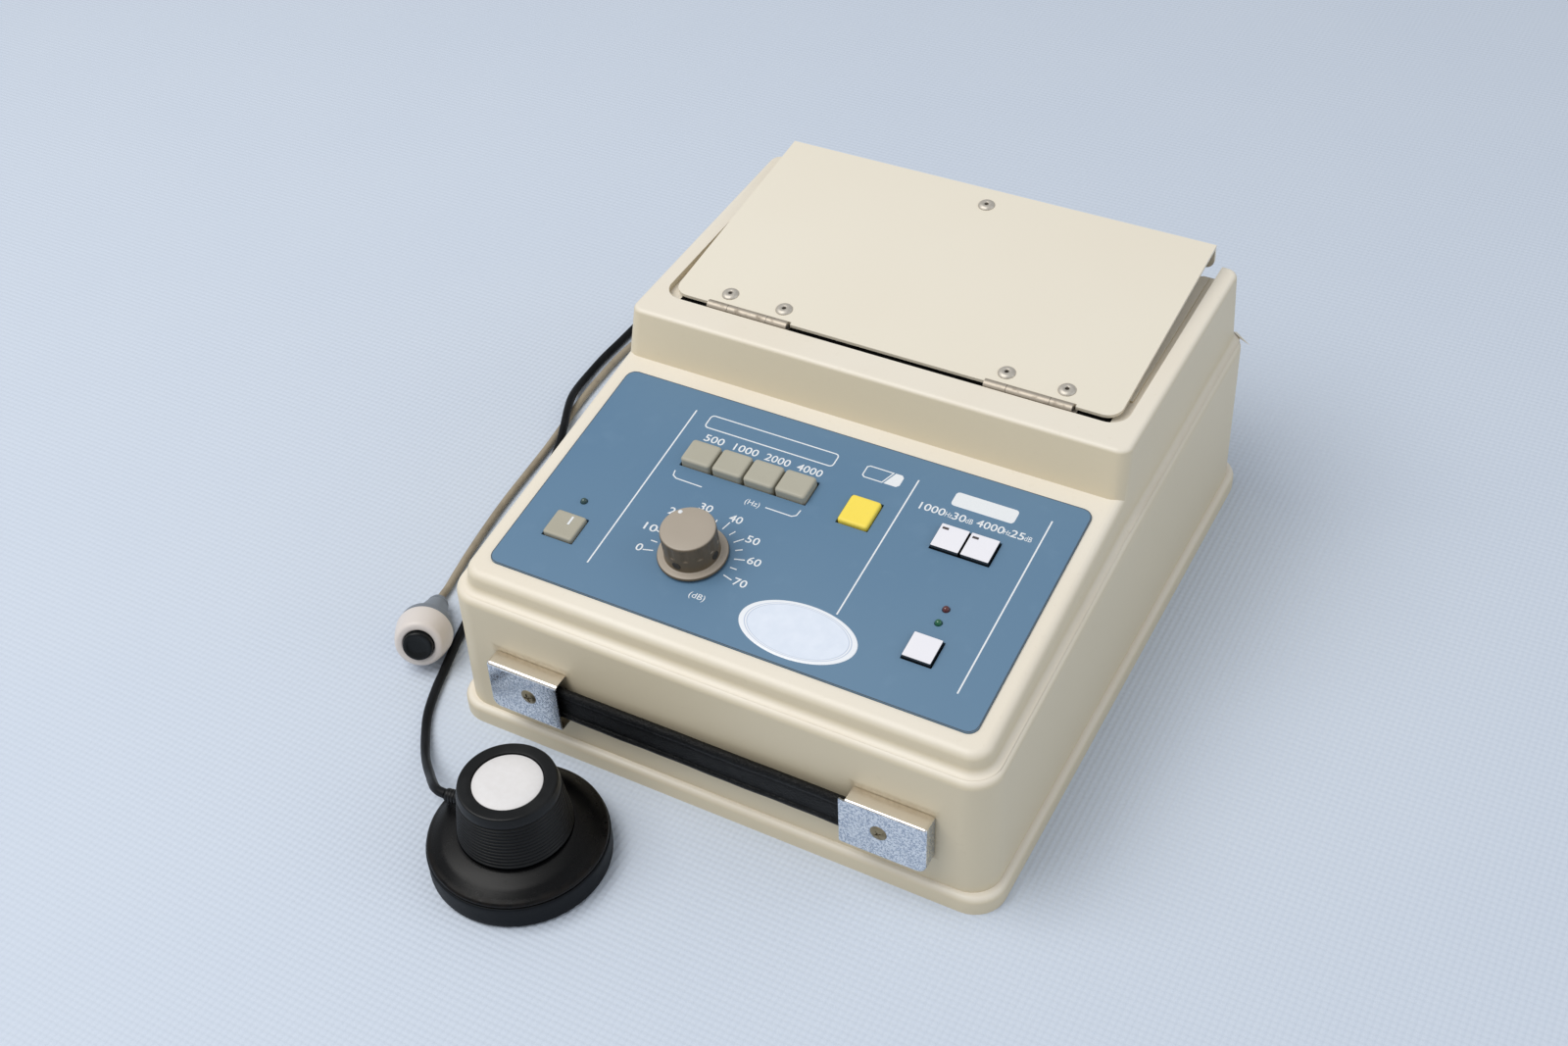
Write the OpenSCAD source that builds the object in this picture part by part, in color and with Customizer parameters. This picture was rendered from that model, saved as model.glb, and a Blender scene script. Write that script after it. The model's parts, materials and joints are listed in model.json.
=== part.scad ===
// Portable screening audiometer: sloped control deck, lidded storage well,
// carrying strap, hand-held receiver, response switch and their two leads.
// Millimetres, +Z up, origin on the table under the middle of the case.

/* [Case] */
// Width of the base lip, left to right
case_w = 260; // [250:1:290]
// Depth of the base lip, front to back
case_d = 303; // [300:1:330]
// Height of the lip that runs round the foot of the case
lip_h = 9; // [7:0.5:14]
// How far the lip stands out from the lower wall
lip_out = 3.2; // [2:0.2:5]
// Radius of the case's upright corners
corner_r = 13; // [11:1:16]
// Thickness of the moulded walls
wall = 3; // [2.4:0.2:3.6]
// Height of the ledge's top at the front wall
ledge_z = 72.6; // [70:0.5:78]
// Rise of the ledge under the control deck, degrees
ledge_tilt = 5.4; // [4.5:0.1:5.6]
// Depth of the step at the ledge
ledge_in = 5.2; // [4:0.2:7]
// Rounding of the ledge's outer edge
ledge_edge_r = 3.6; // [2:0.2:4.4]
// Draft of the lower walls over their height
wall_lean = 1; // [0.6:0.1:1.4]
// Draft of the lower back wall over its height
rear_lean = 3; // [1:0.2:4]
// Rise of the ledge under the raised section, degrees
ledge_back_tilt = 1.6; // [1:0.1:3]

/* [Control deck] */
// Height of the control plate's front edge
deck_z = 84.65; // [84:0.5:90]
// Slope of the deck, degrees
deck_tilt = 8.1; // [7.6:0.1:8.6]
// Distance from the case's front to the plate's front edge
plate_from_front = 18.9; // [16:0.5:24]
// Rounding of the deck's outer edge
deck_edge_r = 4.5; // [3:0.5:6]

/* [Raised back section] */
// Distance from the case's front to the raised section's front edge
step_from_front = 153.4; // [150:0.5:158]
// Height of the raised top at its front edge
top_z = 124.05; // [122:0.5:130]
// Slope of the raised top, degrees
top_tilt = 1; // [0:0.25:2]
// Lean of the raised section's front face from upright, degrees
step_lean = 15; // [10:1:20]
// Distance from the lip's side to the pocket that the lid lies in
pocket_margin = 18.8; // [18:0.2:20]
// Radius of the pocket's front corners
pocket_r = 9; // [7:0.5:12]
// Distance from the raised front edge to the pocket
pocket_from_step = 14.2; // [12:0.2:18]
// Depth of the pocket below the raised top
pocket_depth = 3.4; // [3:0.1:4.4]
// How far the back wall is cut down under the lid's flange
back_cut = 14; // [13.6:0.2:16]

/* [Storage well] */
// Distance from the pocket's side to the well
well_margin = 7.2; // [6.4:0.2:20]
// Front edge of the well behind the pocket's front
well_from_pocket = 21; // [21:0.5:30]
// Depth of the well below the pocket's floor
well_depth = 58; // [50:1:62]
// Thickness of the well's walls
well_wall = 1.6; // [1.2:0.1:2.4]

/* [Lid] */
// Gap between the lid's side and the pocket
lid_side_gap = 3.8; // [3:0.1:4.6]
// Radius of the lid's two corners at the hinges
lid_r = 7; // [5:0.5:10]
// Length of the lid from hinge edge to flange
lid_len = 120; // [118.8:0.2:124]
// Thickness of the lid's sheet
lid_t = 1.6; // [1:0.1:2]
// Height of the flange bent down at the back
flange_h = 13; // [8:0.5:16]
// Distance of the keeper plate's middle from the flange
keeper_from_flange = 11.6; // [11:0.2:13]
// How far the lid stands open in the modelled pose, degrees
lid_ajar = 4.9; // [0:0.1:30]
// Half the distance between the two hinges
hinge_x = 67.8; // [50:0.2:80]
// Length of each hinge
hinge_len = 40.4; // [30:0.2:50]
// Length of a hinge's middle knuckle
knuckle_mid = 20; // [12:0.5:26]
// Diameter of the hinge knuckles
knuckle_d = 4.5; // [4:0.1:5]
// Diameter of the hinge pins
pin_d = 2; // [1.6:0.1:2.4]
// Radial clearance between a hinge pin and its knuckles
pin_gap = 0.05; // [0.03:0.01:0.08]
// Thickness of the hinge leaves
leaf_t = 0.8; // [0.6:0.05:0.9]
// Diameter of the pop rivets' heads
rivet_head_d = 8; // [6:0.2:10]

/* [Control plate] */
// Distance from the lip's side to the control plate
plate_margin = 18; // [17:0.5:19]
// Length of the control plate up the slope
plate_l = 120.2; // [118:0.2:122]
// Thickness of the control plate
plate_t = 1.2; // [0.8:0.1:1.6]
// How far the plate stands above the deck
plate_proud = 0.9; // [0.5:0.1:1.2]
// Radius of the plate's corners
plate_r = 4.5; // [3:0.5:9]

/* [Keys] */
// Distance of the power key and its lamp from the plate's left edge
power_from_left = 22; // [19:0.5:24]
// Position of the power key up the plate
power_s = 28; // [24:0.5:32]
// Width of the power key
power_w = 14.4; // [12:0.2:16]
// Length of the power key
power_l = 13.6; // [12:0.2:16]
// Distance of the middle of the frequency keys from the plate's left edge
bank_from_left = 80.6; // [78:0.2:83]
// Position of the frequency keys up the plate
bank_s = 84.5; // [80:0.5:90]
// Spacing of the frequency keys
bank_pitch = 15.4; // [15:0.1:16]
// Width of a frequency key
bank_w = 14.4; // [13:0.1:14.6]
// Length of a frequency key
bank_l = 12.8; // [11:0.2:15]
// Height of the frequency keys above the plate
bank_h = 4; // [3:0.2:5]
// Gap between the last frequency key and the changeover key
change_gap = 16.7; // [14:0.1:19]
// Position of the changeover key up the plate
change_s = 82.6; // [78:0.2:88]
// Width of the changeover key
change_w = 14; // [12:0.2:16]
// Length of the changeover key
change_l = 15.2; // [12:0.2:17]
// Distance of the middle of the two tone keys from the plate's right edge
tone_from_right = 41.6; // [38:0.2:45]
// Position of the two tone keys up the plate
tone_s = 83.4; // [78:0.2:88]
// Spacing of the two tone keys
tone_pitch = 13.4; // [13.2:0.1:15]
// Width and length of the tone keys and the interrupter key
tone_w = 12.6; // [11:0.1:12.8]
// Distance of the interrupter key and its lamps from the plate's right edge
stop_from_right = 35; // [28:0.5:40]
// Position of the interrupter key up the plate
stop_s = 28.4; // [24:0.2:34]
// Height of the low keys above the plate
key_h = 1.9; // [1.4:0.1:2.6]
// Gap between a key and the edge of its hole
key_gap = 0.5; // [0.35:0.05:0.7]
// Diameter of a key's stem
stem_d = 5; // [4:0.2:6]
// Diameter of a lamp
lamp_d = 3; // [2.4:0.1:4]
// Position of the power lamp up the plate
power_lamp_s = 43.5; // [40:0.5:60]
// Position of the green lamp up the plate
green_lamp_s = 43.1; // [40:0.2:46]
// Position of the red lamp up the plate
red_lamp_s = 50.4; // [48:0.2:60]

/* [Level knob] */
// Distance of the knob from the plate's left edge
knob_from_left = 80.5; // [76:0.5:86]
// Position of the knob up the plate
knob_s = 35.9; // [34:0.2:40]
// Diameter of the knob's grip
knob_d = 23.7; // [20:0.1:26]
// Diameter of the knob's skirt
skirt_d = 30.5; // [28:0.1:32]
// Height of the knob's top above the plate
knob_h = 17; // [14:0.5:22]
// Number of finger flutes round the grip
flute_n = 12; // [6:1:16]
// Depth of a finger flute
flute_deep = 0.5; // [0.3:0.1:0.8]
// Diameter of the rotary switch's spindle
spindle_d = 6; // [5:0.5:7]

/* [Handle] */
// Half the distance between the two handle screws
handle_x = 82.5; // [75:0.5:90]
// Height of the handle screws
handle_z = 36.2; // [32:0.2:40]
// Width of a handle end cap
cap_w = 35; // [30:0.5:40]
// Height of a handle end cap
cap_h = 25.6; // [22:0.2:30]
// How far the end caps stand out from the wall
cap_out = 8; // [7:0.5:12]
// Radius of an end cap's outer lower corner
cap_corner = 4; // [2:0.5:9]
// Thickness of the end caps' sheet
cap_t = 1; // [0.8:0.1:1.4]
// Width of the carrying strap
strap_w = 17; // [12:0.5:20]
// Thickness of the carrying strap
strap_t = 4.6; // [3:0.2:5.2]

/* [Receiver] */
// Diameter of the receiver's ear cushion
ear_d = 76.4; // [70:0.2:84]
// Height of the ear cushion
ear_h = 13.7; // [10:0.2:18]
// Height of the flared disc's upper edge
flare_z = 20; // [18:0.5:24]
// Diameter of the ribbed neck at its foot
neck_d = 48; // [44:0.5:52]
// Diameter of the ribbed neck at its top
neck_top_d = 42.6; // [40:0.2:46]
// Height of the receiver's top
receiver_h = 46.1; // [44:0.5:54]
// Diameter of the receiver's cap
receiver_cap_d = 41.4; // [36:0.2:42]
// Diameter of the blank label in the cap
label_d = 29; // [22:0.5:34]
// Number of ribs round the neck
rib_n = 12; // [8:1:14]
// Left to right position of the receiver on the table
receiver_x = -58.6; // [-64:0.2:-52]
// Front to back position of the receiver on the table
receiver_y = -205.2; // [-210:0.2:-200]

/* [Response switch] */
// Front diameter of the switch's head
head_d = 22.3; // [20:0.1:24]
// Back diameter of the switch's head
head_back_d = 26.4; // [24.5:0.1:27]
// Length of the switch's head
head_l = 13.3; // [10:0.1:14]
// Length of the grip behind the head
grip_l = 28.7; // [26:0.1:29.4]
// Diameter of the response button
button_d = 14; // [10:0.1:15]
// How far the response button stands out
button_out = 2.2; // [1.8:0.1:4]

/* [Leads] */
// Diameter of the receiver's lead
lead_d = 4.2; // [3.6:0.1:4.4]
// Diameter of the response switch's lead
thin_lead_d = 3.6; // [3:0.1:3.8]
// Loops in each coil, laid in two layers
coil_turns = 8; // [4:2:8]
// Least gap between neighbouring loops
coil_gap = 0.45; // [0.42:0.01:0.6]
// Distance of the back jacks above the table
jack_z = 40; // [34:1:48]

/* [Hidden] */

eps = 0.01;
$fn = 48;
cream = "#e6dcc8";
dark = "#26262a";

// Case outline
front_y = -case_d / 2;
back_y = case_d / 2;
low_hw = case_w / 2 - lip_out;
low_front = front_y + lip_out;
low_back = back_y - lip_out;
ledge_hw = low_hw - wall_lean * 0.8;
ledge_front = low_front + wall_lean * 0.64;
ledge_back = low_back - rear_lean;
up_hw = ledge_hw - ledge_in + 1.3;
up_front = ledge_front + ledge_in - 0.6;
up_back = ledge_back - 1.6;
deck_hw = up_hw - 1.3;
plate_y = front_y + plate_from_front;
step_y = front_y + step_from_front;
top_hw = up_hw - 2.6;
// The ledge bends where the raised section starts
bend_z = ledge_z + (step_y - ledge_front) * tan(ledge_tilt);
back_z = bend_z + (ledge_back - step_y) * tan(ledge_back_tilt);
// Top of the leaning raised front: the foot lies where the slope meets it
raise_foot_z = ledge_z + 4;
raise_foot_y = step_y - (top_z - raise_foot_z) * tan(step_lean);
top_back = back_y - 11;
// Pocket, well and lid, measured back from the raised front edge
pocket_w = case_w - 2 * pocket_margin;
well_w = pocket_w - 2 * well_margin;
lid_w = pocket_w - 2 * lid_side_gap;
pocket_v = pocket_from_step;
axis_v = pocket_v + knuckle_d / 2 + 0.45;
axis_h = -0.4;
lid_v = axis_v + 1;
lid_top_h = 0.2;
lid_bot_h = lid_top_h - lid_t;
lid_end_v = lid_v + lid_len;
well_v = pocket_v + well_from_pocket;
well_end_v = lid_end_v - 6.5;
roof_h = pocket_depth + wall + 0.6;
leaf_reach = 17;
rivet_v = lid_v + 8;
rivet_dx = 13.8;
keeper_v = lid_end_v - keeper_from_flange;
// Deck: h = 0 is the plate's top face
plate_w = case_w - 2 * plate_margin;
power_x = -plate_w / 2 + power_from_left;
bank_x = -plate_w / 2 + bank_from_left;
knob_x = -plate_w / 2 + knob_from_left;
change_x = bank_x + 1.5 * bank_pitch + (bank_w + change_w) / 2 + change_gap;
tone_x = plate_w / 2 - tone_from_right;
stop_x = plate_w / 2 - stop_from_right;
deck_h = -plate_proud;
board_h = -20;
board_t = 1.6;
board_top = board_h + board_t;
switch_top = -9.6;
stem_end = -14;
key_foot = -6;
board_x = plate_w / 2 - 17;
board_s = [12, plate_l - 13.2];
// Handle wall, the plane that the hull of the lower wall makes
wall_angle = atan((ledge_front + 0.36 - low_front) / (ledge_z - ledge_edge_r - 2));
cap_top = handle_z + 11.6;
cap_in = handle_x - 14.8;
screw_d = 4;
strap_back = 1.9;
strap_low = handle_z - 6.9;
// Main board's posts and the holder for six standard cells
main_x = case_w / 2 - 60;
main_y = [front_y + 90, front_y + 160];
cell_d = 14.2;
cell_l = 50;
holder_y = back_y - 101.5;
// Back jacks
jack_x = 45;
thin_jack_x = -30;
jack_y = low_back - rear_lean * (jack_z - 2) / (back_z - ledge_edge_r - 2) + 0.3;
plug_l = 34;
plug_end = jack_y + 2 + plug_l;
// Receiver
ear_r = ear_d / 2;
neck_r = neck_d / 2;
neck_top_r = neck_top_d / 2;
cap_z = receiver_h - 5;
relief_z = 24;
relief_turn = 185;
relief_len = 8;
relief_d = 7.5;
relief_start = neck_r - (relief_z - relief_d / 2 - flare_z) * (neck_d - neck_top_d) / 2
    / (cap_z - flare_z) + 0.15;
relief_end = relief_start + relief_len;
function relief_pt(e) = [receiver_x + (relief_end + e) * cos(relief_turn),
    receiver_y + (relief_end + e) * sin(relief_turn), relief_z];
// Response switch: head's front ring centre, aim and tilt
head_aim = [0, 72.4, -64.5];
collar_l = 4.2;
collar_r = head_back_d / 2 - 0.5;
head_at = [-157.2, -138.1,
    (head_l + collar_l) * cos(head_aim[1]) + collar_r * sin(head_aim[1]) + 0.05];
grip_end_r = 4.5;
tail_l = head_l + grip_l;
button_gap = 0.08;
button_travel = 1.6;
// Coils: centre, radii, pitch and layer heights
coil_at = [0, 215];
thin_coil_at = [-85, 190];
tie_t = 0.8;
tie_w = 7;
tie_gap = 0.35;
lay = coil_turns / 2;
pitch = lead_d + coil_gap;
thin_pitch = thin_lead_d + coil_gap;
coil_out = 5.5 * lead_d + pitch * lay / 2;
thin_out = 5.5 * thin_lead_d + thin_pitch * lay / 2;
coil_z = tie_t + tie_gap + lead_d / 2;
thin_coil_z = tie_t + tie_gap + thin_lead_d / 2;

function unit(v) = v / norm(v);

// Point of a coil at turn t (0 to coil_turns), spiralling in and out again
function coil_r(t, out, p) = t < lay ? out - p * t : out - p * (coil_turns - t);
function coil_up(t, z, p) = z + p * min(1, max(0, (t - lay + 0.25) / 0.5));
function coil_pt(t, at, out, p, z) = let (a = 90 + 360 * t, r = coil_r(t, out, p))
    [at[0] + r * cos(a), at[1] + r * sin(a), coil_up(t, z, p)];
function coil_path(at, out, p, z, d) = concat(
    [[at[0] + d, at[1] + out, z]],
    [for (i = [0:coil_turns * 24]) coil_pt(i / 24, at, out, p, z)],
    [[at[0] - d, at[1] + out, z + p]]);
// Least distance between loops, from centre to centre less the diameter
function coil_least(pts, d) = min([for (i = [0:len(pts) - 1])
    for (j = [i + 14:1:min(len(pts) - 1, i + 200)])
        if (norm(pts[i] - pts[j]) < 3 * d) norm(pts[i] - pts[j]) - d]);

// Smooth route through hand-chosen points, three steps between neighbours
function pick(p, i) = p[max(0, min(len(p) - 1, i))];
function spline(a, b, c, d, t) = 0.5 * ((2 * b) + (c - a) * t
    + (2 * a - 5 * b + 4 * c - d) * t * t + (3 * b - a - 3 * c + d) * t * t * t);
function route(p, n) = concat([for (i = [0:len(p) - 2]) for (k = [0:n - 1])
    spline(pick(p, i - 1), p[i], p[i + 1], pick(p, i + 2), k / n)], [p[len(p) - 1]]);

// Directions along a path and side vectors carried along it without twist
function dirs(p) = [for (i = [0:len(p) - 1])
    unit(pick(p, i + 1) - pick(p, i - 1))];
function flat_to(n, t) = unit(n - (n * t) * t);
function sides(t) = [for (i = 0, n = flat_to([0.03, 0.02, 1], t[0]); i < len(t);
    i = i + 1, n = i < len(t) ? flat_to(n, t[i]) : n) n];

// One closed tube of radius r and m sides along path p
module tube(p, r, m) {
    t = dirs(p);
    n = sides(t);
    k = len(p);
    pts = [for (i = [0:k - 1]) for (j = [0:m - 1])
        let (a = 360 * (j + 0.5) / m, b = cross(t[i], n[i]))
            p[i] + r * (cos(a) * n[i] + sin(a) * b)];
    tris = concat(
        [for (i = [0:k - 2]) for (j = [0:m - 1]) let (a = i * m + j, b = i * m + (j + 1) % m)
            each [[a, a + m, b], [b, a + m, b + m]]],
        [for (j = [1:m - 2]) [0, j, j + 1]],
        [for (j = [1:m - 2]) [(k - 1) * m, (k - 1) * m + j + 1, (k - 1) * m + j]]);
    polyhedron(points = pts, faces = tris, convexity = 12);
}

// Receiver lead: from the plug down to its coil, then round to the receiver
lead_in = [[jack_x, plug_end, jack_z], [jack_x, plug_end + 5, jack_z], [45, 198, 37],
    [44.6, 207, 31], [43.6, 218, 22], [41, 229, 13.5], [35, 237, 7.6],
    [26, coil_at[1] + coil_out - 1.2, 4.4], [15, coil_at[1] + coil_out, coil_z],
    [coil_at[0] + lead_d, coil_at[1] + coil_out, coil_z]];
lead_out = [[coil_at[0] - lead_d, coil_at[1] + coil_out, coil_z + pitch],
    [-14, coil_at[1] + coil_out, 7], [-26, coil_at[1] + coil_out, 5],
    [-40, coil_at[1] + coil_out - 0.6, 2.6],
    [-60, coil_at[1] + coil_out - 1.4, 2.2], [-85, 243.5, 2.2], [-110, 242.5, 2.2], [-135, 238.5, 2.2],
    [-158, 229.5, 2.2], [-177, 215.5, 2.2], [-191, 196.5, 2.2], [-200, 174.5, 2.2],
    [-204.5, 150.5, 2.2], [-205.5, 128.5, 2.2], [-206, 110.5, 2.2], [-206.6, 94.5, 2.2],
    [-206.2, 80.5, 2.2], [-204.5, 66.5, 3.4], [-201, 54.5, 5.6], [-196.4, 43.5, 6.4],
    [-191.4, 32.5, 6], [-187, 20.5, 3.6], [-183.4, 6.5, 2.2], [-180, -11.5, 2.2],
    [-176, -31.5, 2.2], [-171, -51.5, 2.2], [-166, -71.5, 2.2], [-160.6, -91.5, 2.2],
    [-156, -108.5, 2.2], [-152.4, -121.5, 2.2], [-148.6, -133.5, 2.2],
    [-144.6, -146.5, 2.2], [-139.4, -159.5, 2.2], [-133, -170.1, 2.6],
    [-123.8, -182.1, 5.6], [-116.1, -190.1, 9.8], [-110.6, -195.1, 13.1],
    [-105.2, -200.1, 17.2], [-101.9, -203, 19.8], [-98.5, -205.8, 22.1], [-94.8, -207.7, 23.6],
    relief_pt(0.2)];

// Response lead: from its plug to its coil, then along the case to the switch
thin_in = [[thin_jack_x, plug_end, jack_z], [thin_jack_x, plug_end + 4, jack_z],
    [-30.8, 196, 36], [-33, 204, 28.4], [-36.6, 209, 20], [-42.4, 212, 12.4], [-51, 213.4, 6.8],
    [-62, 213.6, 4], [thin_coil_at[0] + 14, thin_coil_at[1] + thin_out, thin_coil_z],
    [thin_coil_at[0] + thin_lead_d, thin_coil_at[1] + thin_out, thin_coil_z]];
thin_out_path = [[thin_coil_at[0] - thin_lead_d, thin_coil_at[1] + thin_out,
        thin_coil_z + thin_pitch],
    [-98, thin_coil_at[1] + thin_out, 6.2], [-110, 213.5, 4], [-123, 212.1, 2],
    [-140, 207.5, 1.9], [-156, 199.5, 1.9], [-170, 187.5, 1.9], [-181, 172.5, 1.9],
    [-189, 154.5, 1.9], [-194.6, 135.5, 1.9], [-198, 116.5, 1.9], [-199.6, 100.5, 1.9],
    [-199.4, 82.5, 1.9], [-198.6, 66.5, 1.9], [-197.2, 52.5, 1.9], [-195, 36.5, 1.9],
    [-192.8, 18.5, 1.9], [-191, -1.5, 1.9], [-189.4, -21.5, 1.9], [-187, -41.5, 1.9],
    [-183.6, -63.5, 1.9], [-180.6, -79.5, 1.9], [-178.4, -89.5, 2.1],
    tail_pt(6.5), tail_pt(0)];
function tail_pt(e) = head_at - (tail_l + e) * [sin(head_aim[1]) * cos(head_aim[2]),
    sin(head_aim[1]) * sin(head_aim[2]), cos(head_aim[1])];

black_loops = coil_path(coil_at, coil_out, pitch, coil_z, lead_d);
thin_loops = coil_path(thin_coil_at, thin_out, thin_pitch, thin_coil_z, thin_lead_d);
function run(p) = len(p) < 2 ? 0 : [for (i = 1, s = norm(p[1] - p[0]); i < len(p);
    i = i + 1, s = s + (i < len(p) ? norm(p[i] - p[i - 1]) : 0)) s][len(p) - 2];
echo("least gap in receiver coil", coil_least(black_loops, lead_d));
echo("least gap in response coil", coil_least(thin_loops, thin_lead_d));
echo("receiver lead length", run(route(lead_in, 3)) + run(black_loops) + run(route(lead_out, 2)));
echo("response lead length",
    run(route(thin_in, 3)) + run(thin_loops) + run(route(thin_out_path, 3)));

// Frames that the pieces are drawn in
module on_deck() { translate([0, plate_y, deck_z]) rotate([deck_tilt, 0, 0]) children(); }
module on_top() { translate([0, step_y, top_z]) rotate([top_tilt, 0, 0]) children(); }
module on_front() { translate([0, low_front, 2]) rotate([-wall_angle, 0, 0]) children(); }
module on_switch() { translate(head_at) rotate(head_aim) children(); }
module on_receiver() { translate([receiver_x, receiver_y, 0]) children(); }
module swung_lid() {
    on_top() translate([0, axis_v, axis_h]) rotate([lid_ajar, 0, 0])
        translate([0, -axis_v, -axis_h]) children();
}

// Rounded rectangle, centred
module rrect(w, d, r) {
    square([w - 2 * r, d], center = true);
    square([w, d - 2 * r], center = true);
    for (x = [-1, 1], y = [-1, 1])
        translate([x * (w / 2 - r), y * (d / 2 - r)]) circle(r);
}
// Round disc with a rounded upper edge, its top at z = 0
module disc(r, e, t) {
    rotate_extrude($fn = 32) polygon(concat([[0, -t], [r, -t]],
        [for (a = [0:18:90]) [r - e + e * cos(a), -e + e * sin(a)]], [[0, 0]]));
}
// Four copies at the corners of a rectangle from y0 to y1
module corners(hw, y0, y1, r) {
    for (x = [-1, 1], y = [y0 + r, y1 - r]) translate([x * (hw - r), y, 0]) children();
}

module lip_form() {
    hull() {
        corners(case_w / 2, front_y, back_y, corner_r + 1) cylinder(r = corner_r + 1, h = 1, $fn = 32);
        translate([0, 0, lip_h]) corners(case_w / 2, front_y, back_y, corner_r + 1)
            disc(corner_r + 1, 3, 3.2);
    }
}
// Both side corners of the ledge at one place, dy in from it
module ledge_pair(y, z, tilt, dy, o) {
    for (x = [-1, 1]) translate([x * (ledge_hw - corner_r), y, z]) rotate([tilt, 0, 0])
        translate([0, dy, -o]) disc(corner_r - o, ledge_edge_r, ledge_edge_r + 0.2);
}
module lower_form(o) {
    hull() {
        translate([0, 0, o > 0 ? -1 : 2])
            corners(low_hw - o, low_front + o, low_back - o, corner_r - o)
            cylinder(r = corner_r - o, h = 0.1, $fn = 32);
        ledge_pair(ledge_front, ledge_z, ledge_tilt, corner_r, o);
        ledge_pair(step_y, bend_z, (ledge_tilt + ledge_back_tilt) / 2, 0, o);
        ledge_pair(ledge_back, back_z, ledge_back_tilt, -corner_r, o);
    }
}
module deck_form(o) {
    s0 = (up_front + 0.5 - plate_y) / cos(deck_tilt);
    s1 = (20 - plate_y) / cos(deck_tilt);
    hull() {
        translate([0, 0, ledge_z - 14]) corners(up_hw - o, up_front + o, 30, 10 - o)
            cylinder(r = 10 - o, h = 0.1, $fn = 32);
        on_deck() translate([0, 0, deck_h - o]) corners(deck_hw - o, s0 + o, s1, 9 - o)
            disc(9 - o, deck_edge_r, deck_edge_r + 0.2);
    }
}
module raised_form(o, low) {
    // The back wall is thicker at its top, where the well's back wall meets it
    v1 = (top_back - step_y) / cos(top_tilt) - (o > 0 ? 3.5 : 0);
    hull() {
        translate([0, 0, raise_foot_z]) corners(up_hw - o, raise_foot_y + o, up_back - o, 8 - o)
            cylinder(r = 8 - o, h = 0.1, $fn = 32);
        on_top() translate([0, 0, -low]) corners(top_hw - o, -1.2 + o, v1 - o, 6 - o)
            disc(6 - o, 2.5, 2.7);
    }
}
// Opening for a key: w by l in the plate's plane
module key_hole(x, s, w, l, h0, h1) {
    translate([x - w / 2 - key_gap, s - l / 2 - key_gap, h0])
        cube([w + 2 * key_gap, l + 2 * key_gap, h1 - h0]);
}
module deck_holes(h0, h1, more) {
    key_hole(power_x, power_s, power_w + more, power_l + more, h0, h1);
    key_hole(bank_x, bank_s, 3 * bank_pitch + bank_w + more, bank_l + more, h0, h1);
    key_hole(change_x, change_s, change_w + more, change_l + more, h0, h1);
    key_hole(tone_x, tone_s, tone_pitch + tone_w + more, tone_w + more, h0, h1);
    key_hole(stop_x, stop_s, tone_w + more, tone_w + more, h0, h1);
    for (p = [[power_x, power_lamp_s], [stop_x, red_lamp_s], [stop_x, green_lamp_s]])
        translate([p[0], p[1], h0]) cylinder(d = lamp_d + 0.4 + more, h = h1 - h0);
    translate([knob_x, knob_s, h0]) cylinder(d = 9.4 + more, h = h1 - h0);
}
boss_at = [for (x = [-1, 1], y = [low_front + 17, 0, low_back - 17]) [x * (low_hw - 9), y]];

module upper_case() {
    color(cream) difference() {
        union() {
            difference() {
                union() {
                    lip_form();
                    lower_form(0);
                    deck_form(0);
                    raised_form(0, 0);
                }
                lower_form(wall);
                deck_form(wall);
                raised_form(wall, roof_h);
            }
            // Screw bosses for the bottom plate and posts for the control board
            for (b = boss_at) translate([b[0], b[1], 3.4]) {
                cylinder(r = 4.5, h = 26);
                translate([b[0] > 0 ? 0 : -6.6, -1.5, 0]) cube([6.6, 3, 26]);
            }
            on_deck() for (x = [-1, 1], s = board_s)
                translate([x * board_x, s, board_top]) cylinder(r = 3.5, h = -board_top + deck_h - wall + 1);
        }
        for (b = boss_at) translate([b[0], b[1], 3]) cylinder(d = 3.1, h = 16);
        on_deck() {
            for (x = [-1, 1], s = board_s)
                translate([x * board_x, s, board_top - 1]) cylinder(d = 3.1, h = 9);
            translate([0, plate_l / 2, plate_proud - plate_t - plate_proud])
                linear_extrude(height = plate_t + 2) rrect(plate_w + 0.4, plate_l + 0.4, plate_r + 0.2);
            deck_holes(-12, 1, 2);
        }
        on_top() {
            // Pocket for the lid, open at the back
            translate([0, pocket_v + 70, -pocket_depth]) linear_extrude(height = 12) {
                rrect(pocket_w, 140, pocket_r);
                translate([-pocket_w / 2, 0]) square([pocket_w, 70]);
            }
            // Back wall cut down under the lid's flange
            translate([-pocket_w / 2, well_end_v + 0.2, -back_cut]) cube([pocket_w, 30, 20]);
            // Opening that the storage well hangs in
            translate([-well_w / 2 - 0.4, well_v - 0.4, -24])
                cube([well_w + 0.8, well_end_v - well_v + 0.8, 24]);
            // Relief for the rivets' tails and holes for the hinge screws
            for (x = [-1, 1] * hinge_x) {
                for (d = [-1, 1] * rivet_dx) translate([x + d, rivet_v, -pocket_depth - 1.4])
                    cylinder(d = 6.6, h = 3);
                for (d = [-1, 1] * 6) translate([x + d, axis_v + 12, -roof_h - 3])
                    cylinder(d = 3.1, h = 9);
            }
        }
        on_front() for (x = [-1, 1] * handle_x) translate([x, -3, handle_z - 2])
            rotate([-90, 0, 0]) cylinder(d = screw_d + 0.1, h = 12);
        for (x = [jack_x, thin_jack_x]) translate([x, jack_y - 12, jack_z])
            rotate([-90, 0, 0]) cylinder(d = 9.2, h = 20);
    }
}

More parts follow.
